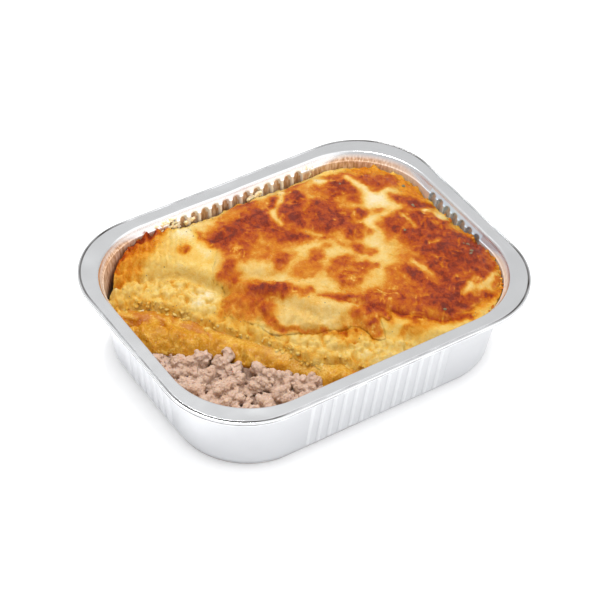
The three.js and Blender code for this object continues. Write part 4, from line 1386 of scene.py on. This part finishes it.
def melted(name, balls, voxel):
    """One skin round many balls (x, y, z, radius, squash), from a voxel remesh."""
    ball, ball_faces = ball_points(BALL_RINGS, BALL_TURNS)
    points = [ball * [r, r, r * squash] + [x, y, z] for x, y, z, r, squash in balls]
    faces = [tuple(c + i * len(ball) for c in face) for i in range(len(balls)) for face in ball_faces]
    rough_piece = make_piece(name + "_balls", np.concatenate(points), faces)
    remesh = rough_piece.modifiers.new("skin", "REMESH")
    remesh.mode, remesh.voxel_size, remesh.adaptivity = "VOXEL", voxel * MM, 0
    skin = bpy.data.meshes.new_from_object(rough_piece.evaluated_get(bpy.context.evaluated_depsgraph_get()))
    points = np.zeros(len(skin.vertices) * 3)
    skin.vertices.foreach_get("co", points)
    points = points.reshape(-1, 3) / MM
    faces = [tuple(f.vertices) for f in skin.polygons]
    bpy.data.objects.remove(rough_piece)
    bpy.data.meshes.remove(skin)
    return points, faces


def pushed(points, faces, amount):
    """Points moved along their own normals by an amount each."""
    normal = np.zeros_like(points)
    quads = np.array([f for f in faces if len(f) == 4])
    cross = np.cross(points[quads[:, 2]] - points[quads[:, 0]], points[quads[:, 3]] - points[quads[:, 1]])
    for corner in range(4):
        np.add.at(normal, quads[:, corner], cross)
    normal /= np.maximum(np.linalg.norm(normal, axis=1), 1e-9)[:, None]
    return points + normal * np.reshape(amount, (-1, 1))


print("a ball has", len(ball_points(BALL_RINGS, BALL_TURNS)[0]), "points")

# %% The clumps of mince
CLUMPS = [  # x, y, radius, height of the middle
    (-60.3, 4.5, 3.4, 17.5), (-58.3, -3.7, 5.2, 17.5), (-50.4, -4.4, 4.6, 19), (-44.7, -10.4, 2.4, 19.5),
    (-40.7, -10.3, 2.4, 21), (-42.2, -16, 3.6, 18), (-43.6, -19.8, 4.4, 17), (-51.9, -12.5, 4.2, 16.5),
    (-59.5, -15, 3.9, 16.5), (-53.2, -21.6, 4.0, 16.5), (-48.5, -20.4, 3.4, 16.8),
    (-49.1, -25.8, 3.8, 16.2), (-34.7, -21.6, 2.7, 20), (-33.3, -28.5, 5.2, 18.5), (-33.5, -35, 4.6, 16.5),
    (-40.3, -34.4, 3.6, 16), (-24, -35, 3.8, 18.5), (-24, -39.3, 3.2, 16), (-53.8, -28, 3.0, 15.5),
    (-62.0, -10.5, 3.0, 16), (-62.8, -3, 2.6, 16.5), (-58.6, -22.5, 2.8, 15.5), (-63.6, 2, 2.5, 16.5),
    (-27.6, -30, 3.4, 18), (-40.2, -38, 3.0, 15.5), (-46.2, -34.4, 2.4, 15), (-38.5, -26, 3.2, 17),
    (-56.5, -9.5, 3.4, 16.5), (-46, -13.5, 2.6, 17), (-30, -39.5, 2.6, 15.5), (-20, -37.2, 2.7, 19.5),
    (-22, -41.5, 3.2, 17.5), (-27.5, -42.5, 3.2, 16.5), (-17.5, -42, 2.8, 17.5), (-64.5, 6, 2.4, 18),
]
SQUASH = 0.85  # a clump's height as a share of its width
LOOSE_GRANULES = 620
random = np.random.default_rng(11)
granules = []
for x, y, radius, middle_z in CLUMPS:
    middle = np.array([x, y, middle_z])
    granules.append((x, y, middle_z - 0.1 * radius, 0.86 * radius, SQUASH))
    for _ in range(int(6.5 * radius)):
        way = random.normal(size=3)
        way *= random.uniform(0.62, 0.9) * radius / np.linalg.norm(way) * np.array([1, 1, SQUASH])
        granules.append((*(middle + way), random.uniform(0.7, 2.1), random.uniform(0.8, 1.2)))
for _ in range(LOOSE_GRANULES):  # over the core
    u, v = random.uniform(-68, -38), random.uniform(-48, 48)
    x, y = u * SCOOP_WAY[0] + v * SCOOP_WAY[1], u * SCOOP_WAY[1] - v * SCOOP_WAY[0]
    granules.append((x, y, random.uniform(14.2, 16.6), random.uniform(0.7, 1.9), 0.8))
place = np.array([g[:2] for g in granules])
level = np.array([g[2] for g in granules])
size = np.array([g[3] for g in granules])
free = (inside_puree(place) < -0.3) | (level > puree_height(place) + 0.3 * size)
granules = [g for g, kept in zip(granules, free & (inside_foil(place, level) > size + 0.3)) if kept]
clump_points, clump_faces = melted("minced_meat", granules, 0.31)
crannies = np.exp(-((bumps(clump_points, 2.4, 122) / 0.14) ** 2))
rough_skin = 0.42 * rough(clump_points, 2.6, 121, 4, 0.68) - 0.35 * crannies
rough_skin = rough_skin + 0.2 * bumps(clump_points, 0.9, 123) + 0.1
clump_points = pushed(clump_points, clump_faces, rough_skin)
print(len(granules), "granules")

# %% The core under the clumps, and the mince's finish
BARE_MINCE_Z, MINCE_FLOOR_Z = 14.8, 1.2


def mince_height(p):
    covered = smooth(inside_puree(p), -2.6, -0.5)
    return between(BARE_MINCE_Z + 1.1 * rough(p, 4, 131), MINCE_TOP_Z - 0.5, covered)


def mince_region(p):
    return np.minimum(inside_outline(p, wall_offset(MINCE_TOP_Z) - FOIL) - 0.5, 5 - inside_puree(p))


def juice_and_shade_in_core(p):
    """How dark the core is between the clumps: dark juice and painted shade."""
    return 0.9 - 0.5 * smooth(mince_height(p), 14.2, 15.6)


core = layer(
    "minced_meat_core",
    mince_region,
    (even_lines(-75, -28, 0.9), even_lines(-70, 70, 0.9)),
    mince_height,
    MINCE_FLOOR_Z,
    {"low": juice_and_shade_in_core},
)
# The clumps darken low down: dark juice and painted shade.
low = 1 - smooth(clump_points[:, 2] + 0.8 * bumps(clump_points, 3, 124), 13.2, 15.8)
clumps = make_piece("minced_meat_clumps", clump_points, clump_faces, {"low": low})


MEAT = [
    (0.3, food(198, 158, 133)), (0.46, food(214, 180, 157)), (0.6, food(226, 197, 178)),
    (0.78, food(240, 222, 207)),
]
JUICE_AND_SHADE = food(96, 54, 30)


def mince_links(f):
    wide, fine, finer = f.noise(5, 3), f.noise(1.6, 4), f.noise(0.5, 3)
    tone = (0.4 * wide + 0.4 * fine + 0.2 * finer).held()
    return {
        "Base Color": f.mix(f.attribute("low"), f.ramp(tone, MEAT), JUICE_AND_SHADE),
        "Roughness": 0.45 + 0.25 * fine,
        "Normal": f.bump(fine + finer, 0.35),
    }


mince_finish = finish("cooked_mince", mince_links, SHINY_FAT)
for piece in (core, clumps):
    piece.data.materials.append(mince_finish)
    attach(piece, "root")
    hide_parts("minced_meat")

# %% [markdown]
# ## Crumbs, specks and smears
#
# A spoon leaves crumbs of mash on the puree below, and the oven leaves smears on the foil above the food.
# Particle systems could scatter them, but their places matter, so each kind is a short list or a rule for
# where it may lie. Every kind is melted into one skin, like the mince.

# %% Crumbs of mash, flakes of herb and pepper
FOOD_RIM_Z = 33.0  # the height at which the food meets the wall


def top_of_food(p):
    over = np.where(inside_mash(p) > 0, mash_height(p), puree_height(p))
    depth = np.maximum(inside_cheese(p), 0)
    return below_rim(over + np.where(depth > 0, np.maximum(cheese_thickness(p, depth), 0), 0))


def strewn(count, allowed, sizes, sunk, from_wall=2):
    """Balls lying on the food wherever a rule allows."""
    p = random.uniform((-74, -56), (74, 56), (60 * count, 2))
    p = p[allowed(p) & (inside_foil(p, FOOD_RIM_Z) > from_wall)][:count]
    size = random.uniform(*sizes, len(p))
    return np.column_stack([p, top_of_food(p) - sunk * size, size, random.uniform(0.6, 1, len(p))])


def strewn_piece(name, balls, voxel, skin, baked, material, node):
    points, faces = melted(name, balls, voxel)
    uneven = {"baked": np.clip(baked + (0.1 + 0.5 * baked) * bumps(points, 2, 142), 0, 1)}
    piece = make_piece(name, pushed(points, faces, skin * rough(points, 1.6, 141)), faces, uneven)
    piece.data.materials.append(material)
    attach(piece, "root")
    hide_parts(node)


def near_mash_edge(p):
    return np.abs(inside_mash(p) - 0.8) < 1.4 + bumps(p, 9, 143)


def near_right_wall(p):
    return (inside_foil(p, FOOD_RIM_Z) < 1.6) & (p[:, 0] > 50) & (p[:, 1] < 30)


def on_pale_mash(p):
    return (heat(p) < 0.4) & (inside_mash(p) > 0)


at_mash_edge = strewn(150, near_mash_edge, (0.35, 1.0), 0.5)
strewn_piece("potato_crumbs", at_mash_edge, 0.26, 0.4, 0.24, mash.data.materials[0], "potato_mash")

SMEARS = [  # x and height at the start and end of each smear on the back wall, then its half width
    (-34, 31, -33, 35, 1.3), (-31, 32, -30.5, 35.5, 1.2), (-27.5, 31, -25, 34, 1.6),
    (-35, 35, -25, 35.4, 0.8), (-21, 31.5, -18, 32.5, 0.8), (8.6, 31.2, 9.6, 31.8, 0.5),
    (12.4, 31.2, 13.8, 32.6, 0.7), (38, 30.5, 39.5, 35, 1.2), (44, 31.5, 48, 32.5, 0.9),
]
SMEAR_STEPS = 20
smear_balls = []
for x0, z0, x1, z1, width in SMEARS:
    for share in np.linspace(0, 1, SMEAR_STEPS):
        x = between(x0, x1, share) + random.normal(0, 0.9 * width)
        z = between(z0, z1, share) + random.normal(0, 0.55 * width)
        y = MOUTH[1] / 2 + inner_offset(z) + 0.6
        smear_balls.append((x, y, z, random.uniform(0.35, 0.8), 1.1))


# Painted light: the smears' colours are not dimmed like the other food's, so they look bright although the
# wall they lie on is in shade.
def pale_painted_light_links(f):
    return {"Base Color": f.mix(f.noise(1.5), colour(246, 222, 170), colour(252, 240, 214))}


pale = finish("pale_cheese", pale_painted_light_links, FAT)
strewn_piece("cheese_smears", smear_balls, 0.2, 0.3, 0.0, pale, "melted_cheese")

at_wall = strewn(90, near_right_wall, (0.35, 0.85), 0.0, 0.2)
strewn_piece("crust_crumbs", at_wall, 0.18, 0.2, 0.42, cheese.data.materials[0], "melted_cheese")

HERBS = [  # x and y of each flake
    (42.5, 38.5), (62, 14.2), (61.5, 12.8), (66.2, 26.3), (64.5, -17.5), (65.8, -18.4), (63.8, -23.5),
    (64.8, -22.4), (36, -44), (49, 1.5),
]
place = np.array(HERBS)
size = random.uniform(0.5, 0.95, len(HERBS))
flakes = np.column_stack([place, top_of_food(place), size, np.full(len(HERBS), 0.4)])
pepper = strewn(110, on_pale_mash, (0.14, 0.25), 0.0)


def herb_links(f):
    return {"Base Color": f.mix(f.noise(0.8), food(96, 88, 58), food(150, 134, 100))}


herb_finish = finish("dried_herb", herb_links, {"Roughness": 0.6, "Specular IOR Level": 0.2})
strewn_piece("herb_flakes", flakes, 0.14, 0.2, 0.0, herb_finish, "melted_cheese")
strewn_piece("pepper_specks", pepper, 0.09, 0.05, 0.0, herb_finish, "potato_mash")
